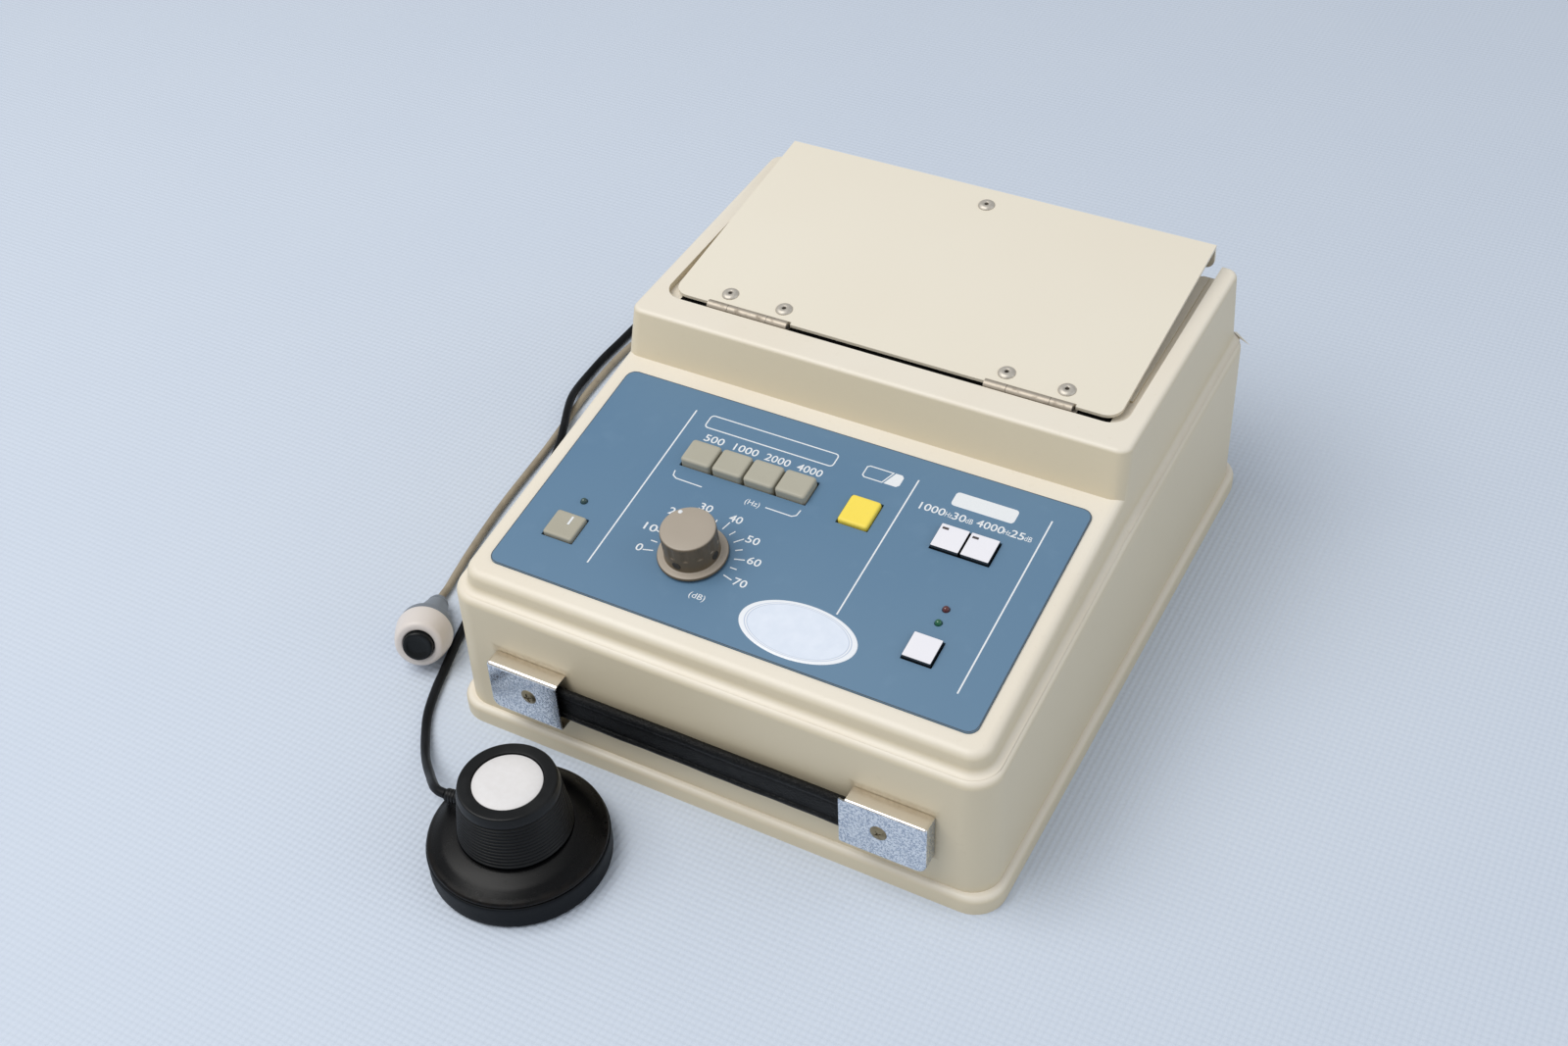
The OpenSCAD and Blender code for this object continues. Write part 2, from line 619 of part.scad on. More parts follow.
module bottom_plate() {
    color("#c9c2b0") difference() {
        union() {
            translate([0, (low_front + low_back) / 2, 0]) linear_extrude(height = 3)
                rrect(2 * (low_hw - wall) - 1, low_back - low_front - 2 * wall - 1, corner_r - wall);
            for (x = [-1, 1] * main_x, y = main_y) translate([x, y, 2]) cylinder(r = 3.5, h = 8);
        }
        for (b = boss_at) translate([b[0], b[1], -1]) {
            cylinder(d = 3.3, h = 6);
            cylinder(d = 6.2, h = 2.8);
        }
        for (x = [-1, 1] * (low_hw - 26), y = [low_front + 24, low_back - 24])
            translate([x, y, -1]) cylinder(d = 14.4, h = 2.5);
        for (x = [-1, 1] * main_x, y = main_y) translate([x, y, 3.2]) cylinder(d = 3.1, h = 8);
    }
}
// Pan-headed screw with a cross recess, head up, its seat at z = 0
module pan_screw(d, head, hh, l) {
    difference() {
        union() {
            cylinder(d = head, h = hh);
            translate([0, 0, -l]) cylinder(d = d, h = l + 0.1);
        }
        for (a = [0, 90]) rotate([0, 0, a]) translate([-head * 0.3, -head * 0.06, hh * 0.4])
            cube([head * 0.6, head * 0.12, hh]);
    }
}
module case_screws() {
    color("#9a9a98") for (b = boss_at) translate([b[0], b[1], 1.8]) rotate([180, 0, 0])
        pan_screw(3, 5.6, 1.7, 12);
}
module rubber_pads() {
    color("#303030") for (x = [-1, 1] * (low_hw - 26), y = [low_front + 24, low_back - 24])
        translate([x, y, 0]) cylinder(d = 14, h = 1.5);
}
module storage_well() {
    w = well_w;
    l = well_end_v - well_v;
    color(cream) on_top() difference() {
        union() {
            translate([-w / 2, well_v, -pocket_depth - well_depth]) cube([w, l, well_depth + 0.9]);
            translate([-w / 2 - 4, well_v - 1, -pocket_depth]) cube([w + 8, l + 1, 0.9]);
        }
        translate([-w / 2 + well_wall, well_v + well_wall, -pocket_depth - well_depth + well_wall])
            cube([w - 2 * well_wall, l - 2 * well_wall, well_depth + 5]);
        translate([-w / 2 - 6, well_end_v - well_wall - eps, -back_cut])
            cube([w + 12, 20, 20]);
    }
}

module lid() {
    color(cream) swung_lid() difference() {
        union() {
            translate([0, lid_v + lid_len / 2, lid_bot_h]) linear_extrude(height = lid_t) difference() {
                union() {
                    rrect(lid_w, lid_len, lid_r);
                    translate([-lid_w / 2, 0]) square([lid_w, lid_len / 2]);
                }
                for (x = [-1, 1] * hinge_x) translate([x - hinge_len / 2 - 0.6, -lid_len / 2 - 1])
                    square([hinge_len + 1.2, 1 + knuckle_d / 2 - 0.6]);
            }
            translate([0, lid_end_v, lid_top_h - flange_h]) rotate([90, 0, 0])
                linear_extrude(height = lid_t) translate([0, flange_h / 2]) union() {
                    rrect(lid_w, flange_h, 5);
                    translate([-lid_w / 2, 0]) square([lid_w, flange_h / 2 - lid_t / 2]);
                }
        }
        for (x = [-1, 1] * hinge_x, d = [-1, 1] * rivet_dx) translate([x + d, rivet_v, -5])
            cylinder(d = 4.2, h = 8);
        translate([0, keeper_v, -5]) cylinder(d = 4.2, h = 8);
    }
}
module lid_keeper() {
    color("#b0b0b0") swung_lid() difference() {
        translate([-12, keeper_v - 7, lid_bot_h - 1.2]) cube([24, 14, 1.2]);
        translate([0, keeper_v, -6]) cylinder(d = 4.2, h = 8);
    }
}
module magnet_catch() {
    color("#4a4038") on_top() {
        y1 = well_end_v - well_wall;
        difference() {
            translate([-14, y1 - 12, lid_bot_h - 1.5 - 15]) cube([28, 12, 15]);
            translate([-4, y1 - 13, lid_bot_h - 1.5 - 3]) cube([8, 14, 4]);
        }
    }
}
// Pop rivet seen from above: domed ring with its broken mandrel, tail below
module pop_rivet(grip, tail) {
    rotate_extrude() polygon([[0.9, 0.3], [0.9, 1.1], [2.4, 1.4], [rivet_head_d / 2 - 0.8, 0.8],
        [rivet_head_d / 2, 0], [2, 0], [2, -grip], [tail / 2, -grip], [tail / 2, -grip - 1.3],
        [0, -grip - 1.3], [0, 0.3]]);
}
module lid_rivets() {
    color("#8f8f8c") swung_lid() {
        for (x = [-1, 1] * hinge_x, d = [-1, 1] * rivet_dx) translate([x + d, rivet_v, lid_top_h])
            pop_rivet(lid_t + leaf_t, 5.6);
        translate([0, keeper_v, lid_top_h]) pop_rivet(lid_t + 1.2, 5.6);
    }
}
// Leaf and knuckles of one hinge about its own axis; mid picks the middle knuckle
module hinge_leaf(mid, h0) {
    kl = (hinge_len - knuckle_mid) / 2;
    r = knuckle_d / 2;
    difference() {
        union() {
            for (x = mid ? [0] : [-1, 1]) translate([x * (knuckle_mid + kl) / 2, 0, 0]) {
                l = mid ? knuckle_mid - 0.2 : kl - 0.1;
                rotate([0, 90, 0]) cylinder(d = knuckle_d, h = l, center = true);
                translate([-l / 2, 0, h0]) cube([l, r + 0.8, leaf_t]);
                if (mid) translate([-l / 2, 0, h0]) cube([l, r - 0.6, -h0 - r * 0.55]);
            }
            translate([-hinge_len / 2, r + 0.5, h0]) cube([hinge_len, leaf_reach - r - 0.5, leaf_t]);
        }
        rotate([0, 90, 0]) cylinder(d = pin_d + 2 * pin_gap, h = hinge_len + 2, center = true);
        for (x = [-1, 1] * rivet_dx) translate([x, rivet_v - axis_v, -6])
            cylinder(d = mid ? 6.6 : 4.2, h = 12);
        if (mid) for (x = [-1, 1] * 6) translate([x, 12, h0 - 1]) cylinder(d = 3.2, h = 4);
    }
}
module hinge_fixed_leaves() {
    color("#a9a7a2") on_top() for (x = [-1, 1] * hinge_x) translate([x, axis_v, axis_h])
        hinge_leaf(true, -pocket_depth - axis_h);
}
module hinge_moving_leaves() {
    color("#a9a7a2") swung_lid() for (x = [-1, 1] * hinge_x) translate([x, axis_v, axis_h])
        hinge_leaf(false, lid_bot_h - leaf_t - axis_h);
}
module hinge_pins() {
    color("#8a8884") on_top() for (x = [-1, 1] * hinge_x) translate([x, axis_v, axis_h])
        rotate([0, 90, 0]) cylinder(d = pin_d, h = hinge_len, center = true);
}
module hinge_screws() {
    color("#8a8884") on_top() for (x = [-1, 1] * hinge_x, d = [-1, 1] * 6)
        translate([x + d, axis_v + 12, -pocket_depth + leaf_t]) pan_screw(3, 5, 0.3, 6);
}

module control_plate() {
    color("#5f86a3") on_deck() difference() {
        translate([0, plate_l / 2, -plate_t]) linear_extrude(height = plate_t)
            rrect(plate_w, plate_l, plate_r);
        deck_holes(-3, 3, 0);
    }
}
module oval_label() {
    color("#d8dde0") on_deck() translate([plate_w / 2 - 84.8, 17.2, 0])
        scale([1, 13.8 / 26, 1]) cylinder(r = 26, h = 0.2);
}
// Lamp with its spacer standing on the control board
module lamp(x, s) {
    on_deck() translate([x, s, 0]) {
        translate([0, 0, -4]) cylinder(d = lamp_d, h = 4.2);
        translate([0, 0, 0.2]) sphere(d = lamp_d);
        translate([0, 0, board_top]) cylinder(d = lamp_d + 1, h = -4 - board_top);
    }
}
module power_lamp() { color("#5a2020") lamp(power_x, power_lamp_s); }
module red_lamp() { color("#b03028") lamp(stop_x, red_lamp_s); }
module green_lamp() { color("#2f9a50") lamp(stop_x, green_lamp_s); }

// Key: cap with small corner radii over a round stem
module key(x, s, w, l, h) {
    on_deck() translate([x, s, 0]) {
        translate([0, 0, key_foot]) linear_extrude(height = h - key_foot) rrect(w, l, 1);
        translate([0, 0, stem_end]) cylinder(d = stem_d, h = key_foot - stem_end + 1);
    }
}
module window_cut(x, s, h) {
    on_deck() translate([x - 5.2, s + tone_w / 2 - 2.8, h - 0.4]) cube([2.8, 1.2, 1]);
}
module power_key() { color("#b5b09a") key(power_x, power_s, power_w, power_l, key_h); }
module bank_key(i) { color("#a9a892") key(bank_x + (i - 1.5) * bank_pitch, bank_s, bank_w, bank_l, bank_h); }
module key_500_hz() { bank_key(0); }
module key_1000_hz() { bank_key(1); }
module key_2000_hz() { bank_key(2); }
module key_4000_hz() { bank_key(3); }
module changeover_key() { color("#e3c23a") key(change_x, change_s, change_w, change_l, key_h); }
module tone_key(i) {
    x = tone_x + i * tone_pitch / 2;
    color("#e4e2dc") difference() {
        key(x, tone_s, tone_w, tone_w, key_h);
        window_cut(x, tone_s, key_h);
    }
}
module tone_key_1000_hz() { tone_key(-1); }
module tone_key_4000_hz() { tone_key(1); }
module interrupter_key() { color("#e4e2dc") key(stop_x, stop_s, tone_w, tone_w, key_h); }
key_spots = concat([[power_x, power_s]],
    [for (i = [0:3]) [bank_x + (i - 1.5) * bank_pitch, bank_s]],
    [[change_x, change_s], [tone_x - tone_pitch / 2, tone_s],
        [tone_x + tone_pitch / 2, tone_s], [stop_x, stop_s]]);
module key_switches() {
    color(dark) on_deck() for (k = key_spots) translate([k[0], k[1], board_top]) difference() {
        translate([-6, -6, 0]) cube([12, 12, switch_top - board_top]);
        translate([0, 0, stem_end - 3.4 - board_top]) cylinder(d = stem_d + 0.1, h = 20);
    }
}
module control_board() {
    color("#3d6b45") on_deck() difference() {
        translate([-board_x - 6, board_s[0] - 6, board_h])
            cube([2 * board_x + 12, board_s[1] - board_s[0] + 12, board_t]);
        for (x = [-1, 1], s = board_s) translate([x * board_x, s, board_h - 1])
            cylinder(d = 3.3, h = 4);
    }
}
module board_screws() {
    color("#9a9a98") {
        on_deck() for (x = [-1, 1], s = board_s) translate([x * board_x, s, board_h])
            rotate([180, 0, 0]) pan_screw(3, 5.6, 1.7, 9);
        for (x = [-1, 1] * main_x, y = main_y) translate([x, y, 11.6]) pan_screw(3, 5.6, 1.7, 8);
    }
}

module level_knob() {
    color("#8f8474") on_deck() translate([knob_x, knob_s, 0]) difference() {
        union() {
            translate([0, 0, 0.5]) cylinder(d1 = skirt_d, d2 = skirt_d - 1.4, h = 2);
            translate([0, 0, 2]) cylinder(d = knob_d, h = knob_h - 3);
            translate([0, 0, knob_h - 1.2]) cylinder(d1 = knob_d, d2 = knob_d - 1.6, h = 1.2);
        }
        // Flutes under the rim, and the holes of the two screws that grip the spindle
        for (i = [0:flute_n - 1]) rotate([0, 0, 20 + i * 360 / flute_n])
            translate([knob_d / 2 - flute_deep + 3.2, 0, knob_h - 7.8])
                cylinder(r = 3.2, h = 6.2, $fn = 24);
        for (a = [-92, -3]) rotate([0, 0, a]) translate([6, 0, 5.9]) rotate([0, 90, 0])
            cylinder(d = 3.2, h = knob_d / 2, $fn = 24);
        translate([0, 0, -1]) cylinder(d = spindle_d + 0.06, h = 11);
        translate([0, 0, -1]) cylinder(d = 16, h = 4.4);
    }
}
module rotary_switch_spindle() {
    color("#b8b8b4") on_deck() translate([knob_x, knob_s, -14]) cylinder(d = spindle_d, h = 23.6);
}
module rotary_switch() {
    color("#55585c") on_deck() translate([knob_x, knob_s, 0]) difference() {
        union() {
            translate([0, 0, deck_h - wall - 13.4]) cylinder(d = 28, h = 13.4);
            translate([0, 0, deck_h - wall - 1]) cylinder(d = 9, h = 1 + wall - deck_h + 2.6);
        }
        translate([0, 0, -14.4]) cylinder(d = spindle_d + 0.1, h = 30);
    }
}
module rotary_switch_nut() {
    color("#b8b8b4") on_deck() translate([knob_x, knob_s, 0]) difference() {
        cylinder(d = 13, h = 2, $fn = 6);
        translate([0, 0, -1]) cylinder(d = 9.1, h = 4);
    }
}

module main_board() {
    color("#3d6b45") difference() {
        union() {
            translate([-main_x - 6, main_y[0] - 6, 10])
                cube([2 * main_x + 12, main_y[1] - main_y[0] + 12, 1.6]);
            translate([-60, main_y[0] + 10, 11.5]) cube([34, 24, 12.1]);
            for (x = [0:4]) translate([-12 + x * 14, main_y[0] + 30, 11.5]) cylinder(d = 8, h = 12.1);
            for (x = [0:2]) translate([-10 + x * 22, main_y[0] + 52, 11.5]) cube([16, 7, 4.1]);
        }
        for (x = [-1, 1] * main_x, y = main_y) translate([x, y, 9]) cylinder(d = 3.3, h = 4);
    }
}
module battery_holder() {
    color(dark) translate([-cell_l - 4, holder_y, 3]) difference() {
        cube([2 * cell_l + 8, 3 * (cell_d + 1.4) + 2.6, 16]);
        for (i = [0:2], x = [2, cell_l + 5]) translate([x, 2 + i * (cell_d + 1.4), 1.6])
            cube([cell_l + 1, cell_d + 0.6, 20]);
    }
}
module battery_cells() {
    color("#3a5f8a") for (i = [0:2], x = [2.5, cell_l + 5.5])
        translate([x - cell_l - 4, holder_y + 2.3 + cell_d / 2 + i * (cell_d + 1.4), 4.9 + cell_d / 2])
            rotate([0, 90, 0]) cylinder(d = cell_d, h = cell_l - 1.2);
}
// Panel jack at the back: bush through the wall, body inside, ring nut outside
module back_jacks() {
    color("#8b8b88") for (x = [jack_x, thin_jack_x]) translate([x, jack_y, jack_z])
        rotate([-90, 0, 0]) difference() {
            union() {
                translate([0, 0, -24]) cylinder(d = 15, h = 24 - wall - 1.2);
                translate([0, 0, -6]) cylinder(d = 9, h = 8);
                cylinder(d = 13, h = 2);
            }
            translate([0, 0, -22]) cylinder(d = 6.5, h = 30);
        }
}
module plug(x, d) {
    translate([x, jack_y, jack_z]) rotate([-90, 0, 0]) {
        translate([0, 0, -18]) cylinder(d = 6.3, h = 20.1);
        translate([0, 0, 2]) cylinder(d1 = 13.6, d2 = 13, h = 20);
        translate([0, 0, 22]) cylinder(d1 = 11.4, d2 = d + 2.4, h = plug_l - 20);
    }
}
module receiver_plug() { color(dark) plug(jack_x, lead_d); }
module response_plug() { color("#8e8a80") plug(thin_jack_x, thin_lead_d); }

// Formed end cap: face, top, bottom and outer side, open towards the strap
// The face reaches further over the strap than the cap's other sides
module one_cap(reach) {
    difference() {
        union() {
            translate([cap_in, -cap_out, cap_top - cap_h - 2]) cube([cap_w, cap_out - 0.05, cap_h]);
            translate([cap_in - reach, -cap_out, cap_top - cap_h - 2]) cube([reach + 2, cap_t, cap_h]);
        }
        translate([cap_in - 1, -cap_out + cap_t, cap_top - cap_h - 2 + cap_t])
            cube([cap_w + 1 - cap_t, cap_out, cap_h - 2 * cap_t]);
        // Outer lower corner cut away in a curve
        translate([cap_in + cap_w, 1, cap_top - cap_h - 2]) rotate([90, 0, 0])
            difference() {
                translate([-cap_corner, -1, -1]) cube([cap_corner + 1, cap_corner + 1, cap_out + 3]);
                translate([-cap_corner, cap_corner, -2]) cylinder(r = cap_corner, h = cap_out + 5);
            }
        translate([handle_x, -cap_out - 1, handle_z - 2]) rotate([-90, 0, 0])
            cylinder(d = screw_d + 0.4, h = 4);
    }
}
module handle_caps() {
    color("#c9c9c9") on_front() {
        one_cap(2.8);
        mirror([1, 0, 0]) one_cap(0);
    }
}
module handle_strap() {
    l = handle_x + 14;
    color(dark) on_front() difference() {
        translate([-l, -strap_back - strap_t, strap_low - 2]) cube([2 * l, strap_t, strap_w]);
        for (x = [-1, 1] * handle_x) translate([x, -20, handle_z - 2]) rotate([-90, 0, 0])
            cylinder(d = screw_d + 0.6, h = 20);
    }
}
module handle_screws() {
    color("#8a8272") on_front() for (x = [-1, 1] * handle_x)
        translate([x, -cap_out, handle_z - 2]) rotate([90, 0, 0]) difference() {
            union() {
                rotate_extrude() polygon([[0, 0], [4.1, 0], [3.6, 0.6], [2.4, 1.1], [0, 1.3]]);
                translate([0, 0, -16]) cylinder(d = screw_d, h = 16.1);
            }
            for (a = [20, 110]) rotate([0, 0, a]) translate([-2.2, -0.4, 0.4]) cube([4.4, 0.8, 2]);
        }
}

neck_z = cap_z - flare_z;
rib = neck_z / rib_n;
function neck_at(z) = neck_r - (neck_r - neck_top_r) * (z - flare_z) / neck_z;
module receiver_body() {
    ribs = [for (i = [0:rib_n - 1]) let (z = flare_z + i * rib) each
        [[neck_at(z), z], [neck_at(z + rib * 0.6), z + rib * 0.6],
        [neck_at(z + rib * 0.6) - 0.7, z + rib * 0.7], [neck_at(z + rib) - 0.7, z + rib * 0.9]]];
    color(dark) on_receiver() difference() {
        rotate_extrude() polygon(concat([[neck_r - 4, flare_z - 3], [neck_r - 1.6, flare_z - 3],
            [neck_r - 1.6, flare_z]], ribs, [[neck_top_r - 0.7, cap_z], [neck_top_r - 4.4, cap_z],
            [neck_top_r - 4.4, cap_z - 2], [neck_r - 4, flare_z + 6]]));
        translate([0, 0, relief_z]) rotate([0, 90, relief_turn]) cylinder(d = 5.2, h = 40);
    }
}
module receiver_cap() {
    color(dark) on_receiver() difference() {
        rotate_extrude() polygon([[0, cap_z], [neck_top_r - 0.5, cap_z], [neck_top_r, cap_z + 0.8],
            [receiver_cap_d / 2 + 0.2, receiver_h - 1.2], [receiver_cap_d / 2 - 0.5, receiver_h], [0, receiver_h]]);
        translate([0, 0, receiver_h - 1]) cylinder(d = label_d + 0.4, h = 3);
    }
}
module receiver_label() {
    color("#e9e6e4") on_receiver() translate([0, 0, receiver_h - 1]) cylinder(d = label_d, h = 0.4);
}
// Flared disc: hard shell from the neck out to the cushion, dished inside
module receiver_disc() {
    color("#1c1b1b") on_receiver() rotate_extrude() polygon([[neck_r - 4.6, flare_z - 3],
        [neck_r - 1.3, flare_z - 3], [neck_r - 1.3, flare_z + 0.1 - 0.3], [neck_r + 1, flare_z - 0.2],
        [neck_r + 6, flare_z - 1.8], [ear_r - 3.4, ear_h + 1.6], [ear_r - 1, ear_h + 0.4],
        [ear_r - 0.6, ear_h], [ear_r - 0.6, ear_h - 1.6], [ear_r - 4, ear_h - 1.6],
        [neck_r - 4.6, ear_h - 1.6]]);
}
module receiver_ear_cushion() {
    color("#202226") on_receiver() difference() {
        rotate_extrude() polygon([[13, ear_h - 1.7], [ear_r - 0.3, ear_h - 1.7], [ear_r - 0.3, ear_h - 1],
            [ear_r, ear_h - 1.6], [ear_r, 2], [ear_r - 1.6, 0], [ear_r - 9, 0], [16, 4], [13, 4]]);
    }
}
module receiver_driver() {
    color("#6b6b6b") on_receiver() {
        translate([0, 0, 4.2]) cylinder(d = 25.6, h = 8);
        translate([0, 0, 12]) cylinder(d = 36, h = flare_z - 9.2);
    }
}
module receiver_strain_relief() {
    color(dark) on_receiver() translate([0, 0, relief_z]) rotate([0, 90, relief_turn]) {
        translate([0, 0, relief_start - 5]) cylinder(d = 5, h = 6);
        translate([0, 0, relief_start]) cylinder(d1 = relief_d, d2 = 5.4, h = relief_len);
    }
}

module response_head() {
    color("#e6e3dc") on_switch() difference() {
        translate([0, 0, -head_l]) cylinder(d1 = head_back_d, d2 = head_d, h = head_l);
        translate([0, 0, -head_l - 1]) cylinder(d = button_d + 2 * button_gap, h = head_l + 3);
        translate([0, 0, -head_l - 1]) cylinder(d = 19, h = head_l - 3);
    }
}
module response_grip() {
    r = collar_r;
    e = -head_l - collar_l;
    color("#9b9b98") on_switch() rotate_extrude() polygon([[9.3, -head_l], [r, -head_l], [r, e],
        [r - 2.6, e - 1.6], [8.6, e - 9], [grip_end_r + 0.6, -tail_l + 5], [grip_end_r, -tail_l],
        [0, -tail_l], [0, -head_l - 10], [9.3, -head_l - 10]]);
}
module response_button() {
    color("#1d1f22") on_switch() {
        translate([0, 0, -4.4]) cylinder(d = button_d, h = 4.4 + button_out - 0.8);
        translate([0, 0, button_out - 0.8]) cylinder(d1 = button_d, d2 = button_d - 2.4, h = 0.8);
        translate([0, 0, -5.6]) cylinder(d = button_d + 3, h = 1.3);
    }
}
module response_microswitch() {
    color("#3a3a3c") on_switch() {
        translate([-6, -6, -head_l - 10]) cube([12, 12, 13.6]);
        translate([0, 0, -head_l + 3.5]) cylinder(d = 5, h = head_l - 3.5 - 5.6 - button_travel - 0.2);
    }
}

module receiver_cord() {
    color(dark) {
        tube(route(lead_in, 3), lead_d / 2, 8);
        tube(route(lead_out, 2), lead_d / 2, 8);
    }
}
module receiver_cord_coil() { color(dark) tube(black_loops, lead_d / 2, 6); }
module response_cord() {
    color("#a89e8c") {
        tube(route(thin_in, 3), thin_lead_d / 2, 8);
        tube(route(thin_out_path, 3), thin_lead_d / 2, 8);
    }
}
module response_cord_coil() { color("#a89e8c") tube(thin_loops, thin_lead_d / 2, 6); }
// Band round the bundle of loops, on the side away from the ends
module tie(at, out, p, d) {
    r0 = out - p * lay - d / 2 - tie_gap;
    r1 = out + d / 2 + tie_gap;
    h = 2 * tie_t + 2 * tie_gap + p + d;
    translate([at[0] - tie_w / 2, at[1] - r1 - tie_t, 0]) difference() {
        cube([tie_w, r1 - r0 + 2 * tie_t, h]);
        translate([-1, tie_t, tie_t]) cube([tie_w + 2, r1 - r0, h - 2 * tie_t]);
    }
}
module coil_ties() {
    color("#e8e6e0") {
        tie(coil_at, coil_out, pitch, lead_d);
        tie(thin_coil_at, thin_out, thin_pitch, thin_lead_d);
    }
}

upper_case();
bottom_plate();
case_screws();
rubber_pads();
storage_well();
lid();
lid_keeper();
magnet_catch();
lid_rivets();
hinge_fixed_leaves();
hinge_moving_leaves();
hinge_pins();
hinge_screws();
control_plate();
oval_label();
power_lamp();
red_lamp();
green_lamp();
power_key();
key_500_hz();
key_1000_hz();
key_2000_hz();
key_4000_hz();
changeover_key();
tone_key_1000_hz();
tone_key_4000_hz();
interrupter_key();
key_switches();
control_board();
board_screws();
level_knob();
rotary_switch();
rotary_switch_spindle();
rotary_switch_nut();
main_board();
battery_holder();
battery_cells();
back_jacks();
receiver_plug();
response_plug();
handle_caps();
handle_strap();
handle_screws();
receiver_body();
receiver_cap();
receiver_label();
receiver_disc();
receiver_ear_cushion();
receiver_driver();
receiver_strain_relief();
receiver_cord();
receiver_cord_coil();
response_head();
response_grip();
response_button();
response_microswitch();
response_cord();
response_cord_coil();
coil_ties();
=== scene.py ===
# %% [markdown]
# # School audiometer, dressed for the camera
# A cream moulded case on a table, with a blue control panel, a lid over a storage well, a carrying strap
# in bright folded caps, an ear receiver on a black lead and a push switch on a grey one.
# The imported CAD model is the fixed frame: this script only dresses it, in metres, in the same place.

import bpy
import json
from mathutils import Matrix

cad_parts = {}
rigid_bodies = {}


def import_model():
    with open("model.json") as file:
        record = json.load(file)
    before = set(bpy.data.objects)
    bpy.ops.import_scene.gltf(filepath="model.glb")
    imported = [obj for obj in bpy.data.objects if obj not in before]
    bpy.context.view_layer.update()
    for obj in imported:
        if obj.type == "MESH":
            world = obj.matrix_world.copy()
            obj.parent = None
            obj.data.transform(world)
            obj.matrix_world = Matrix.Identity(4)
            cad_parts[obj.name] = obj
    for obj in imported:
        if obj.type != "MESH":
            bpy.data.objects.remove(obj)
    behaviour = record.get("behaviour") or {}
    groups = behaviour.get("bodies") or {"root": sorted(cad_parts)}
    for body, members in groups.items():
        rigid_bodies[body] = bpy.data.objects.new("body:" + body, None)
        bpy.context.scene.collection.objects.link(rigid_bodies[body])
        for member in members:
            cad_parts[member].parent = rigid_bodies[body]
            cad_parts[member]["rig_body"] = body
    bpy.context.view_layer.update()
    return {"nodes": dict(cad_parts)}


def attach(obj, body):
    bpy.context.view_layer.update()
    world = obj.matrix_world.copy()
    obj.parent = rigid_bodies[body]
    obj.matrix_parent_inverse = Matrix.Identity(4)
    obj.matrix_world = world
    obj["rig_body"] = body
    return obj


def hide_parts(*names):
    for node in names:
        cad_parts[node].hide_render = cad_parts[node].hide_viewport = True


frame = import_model()

# %% [markdown]
# ## Camera
# The photograph looks down on the front right corner, from about 0.9 m by the part's estimated scale. The
# camera's place and aim were solved from the case's own edges.

# %% Camera
import json
import math
from math import cos, degrees, pi, radians, sin

import bmesh
import bpy
from mathutils import Matrix, Vector

MM = 0.001
scene = bpy.context.scene


def link(obj):
    scene.collection.objects.link(obj)
    return obj


right, up, forward = ((0.88004, 0.47304, -0.04196), (-0.29106, 0.60706, 0.73944),
                      (-0.37525, 0.63852, -0.67192))
camera = link(bpy.data.objects.new("camera", bpy.data.cameras.new("camera")))
camera.data.lens, camera.data.sensor_width = 45.17, 36
camera.matrix_world = Matrix.Translation((0.30420, -0.59270, 0.64657)) @ Matrix(
    (right, up, [-c for c in forward])).transposed().to_4x4()
scene.camera = camera
print("camera at", [round(c, 3) for c in camera.location], "lens", camera.data.lens)

# %% [markdown]
# ## Light and floor
# One broad soft lamp high on the front left, an even pale room all round, and a weak cool fill from the
# right, because the photograph's right side and shadows are paler than one lamp makes them. Together they
# light a level surface at about its own colour.
# The table is a plain pale blue sheet that keeps the object's shadow.

# %% Light
scene.view_settings.view_transform = "Standard"
room = bpy.data.worlds.new("room")
scene.world = room
room.use_nodes = True
room.node_tree.nodes["Background"].inputs["Color"].default_value = (0.44, 0.455, 0.475, 1)
lamp = link(bpy.data.objects.new("soft_lamp", bpy.data.lights.new("soft_lamp", "AREA")))
lamp.data.shape, lamp.data.size, lamp.data.size_y = "RECTANGLE", 1.7, 1.5
lamp.data.energy, lamp.data.color = 31, (1.0, 0.985, 0.955)
lamp_from = Vector((-0.35, -0.33, 0.88)).normalized()
lamp.location = lamp_from * 2.2
lamp.rotation_euler = lamp_from.to_track_quat("Z", "Y").to_euler()
fill = link(bpy.data.objects.new("fill_lamp", bpy.data.lights.new("fill_lamp", "AREA")))
fill.data.shape, fill.data.size, fill.data.energy, fill.data.color = "SQUARE", 1.4, 5, (0.9, 0.95, 1.0)
fill.location = Vector((0.86, 0.12, 0.5)).normalized() * 2
fill.rotation_euler = fill.location.to_track_quat("Z", "Y").to_euler()
print("lamp", lamp.data.energy, "W, fill", fill.data.energy, "W")

# %% [markdown]
# ## Writing finishes as sums
# A finish is a small net of nodes. `Wire` holds one socket and lets Python's own signs add the Math nodes,
# so a mask can be written as `1 - mask * 0.5`. `Finish` makes any other node in one way: its kind, its
# settings, then the values or wires of its sockets. Colours are mixed with `blend`, never with plain sums.

# %% Wire and Finish
class Wire:
    """One socket, and the sums that can be made with it."""

    def __init__(self, finish, socket):
        self.finish, self.socket = finish, socket

    def sum(self, operation, *values):
        return self.finish.node("ShaderNodeMath", {"operation": operation}, dict(enumerate(values)))

    def __add__(self, other):
        return self.sum("ADD", self, other)

    __radd__ = __add__

    def __mul__(self, other):
        return self.sum("MULTIPLY", self, other)

    __rmul__ = __mul__

    def __sub__(self, other):
        return self.sum("SUBTRACT", self, other)

    def __rsub__(self, other):
        return self.sum("SUBTRACT", other, self)

    def __truediv__(self, other):
        return self.sum("DIVIDE", self, other)

    def __pow__(self, other):
        return self.sum("POWER", self, other)

    def __lt__(self, other):
        return self.sum("LESS_THAN", self, other)


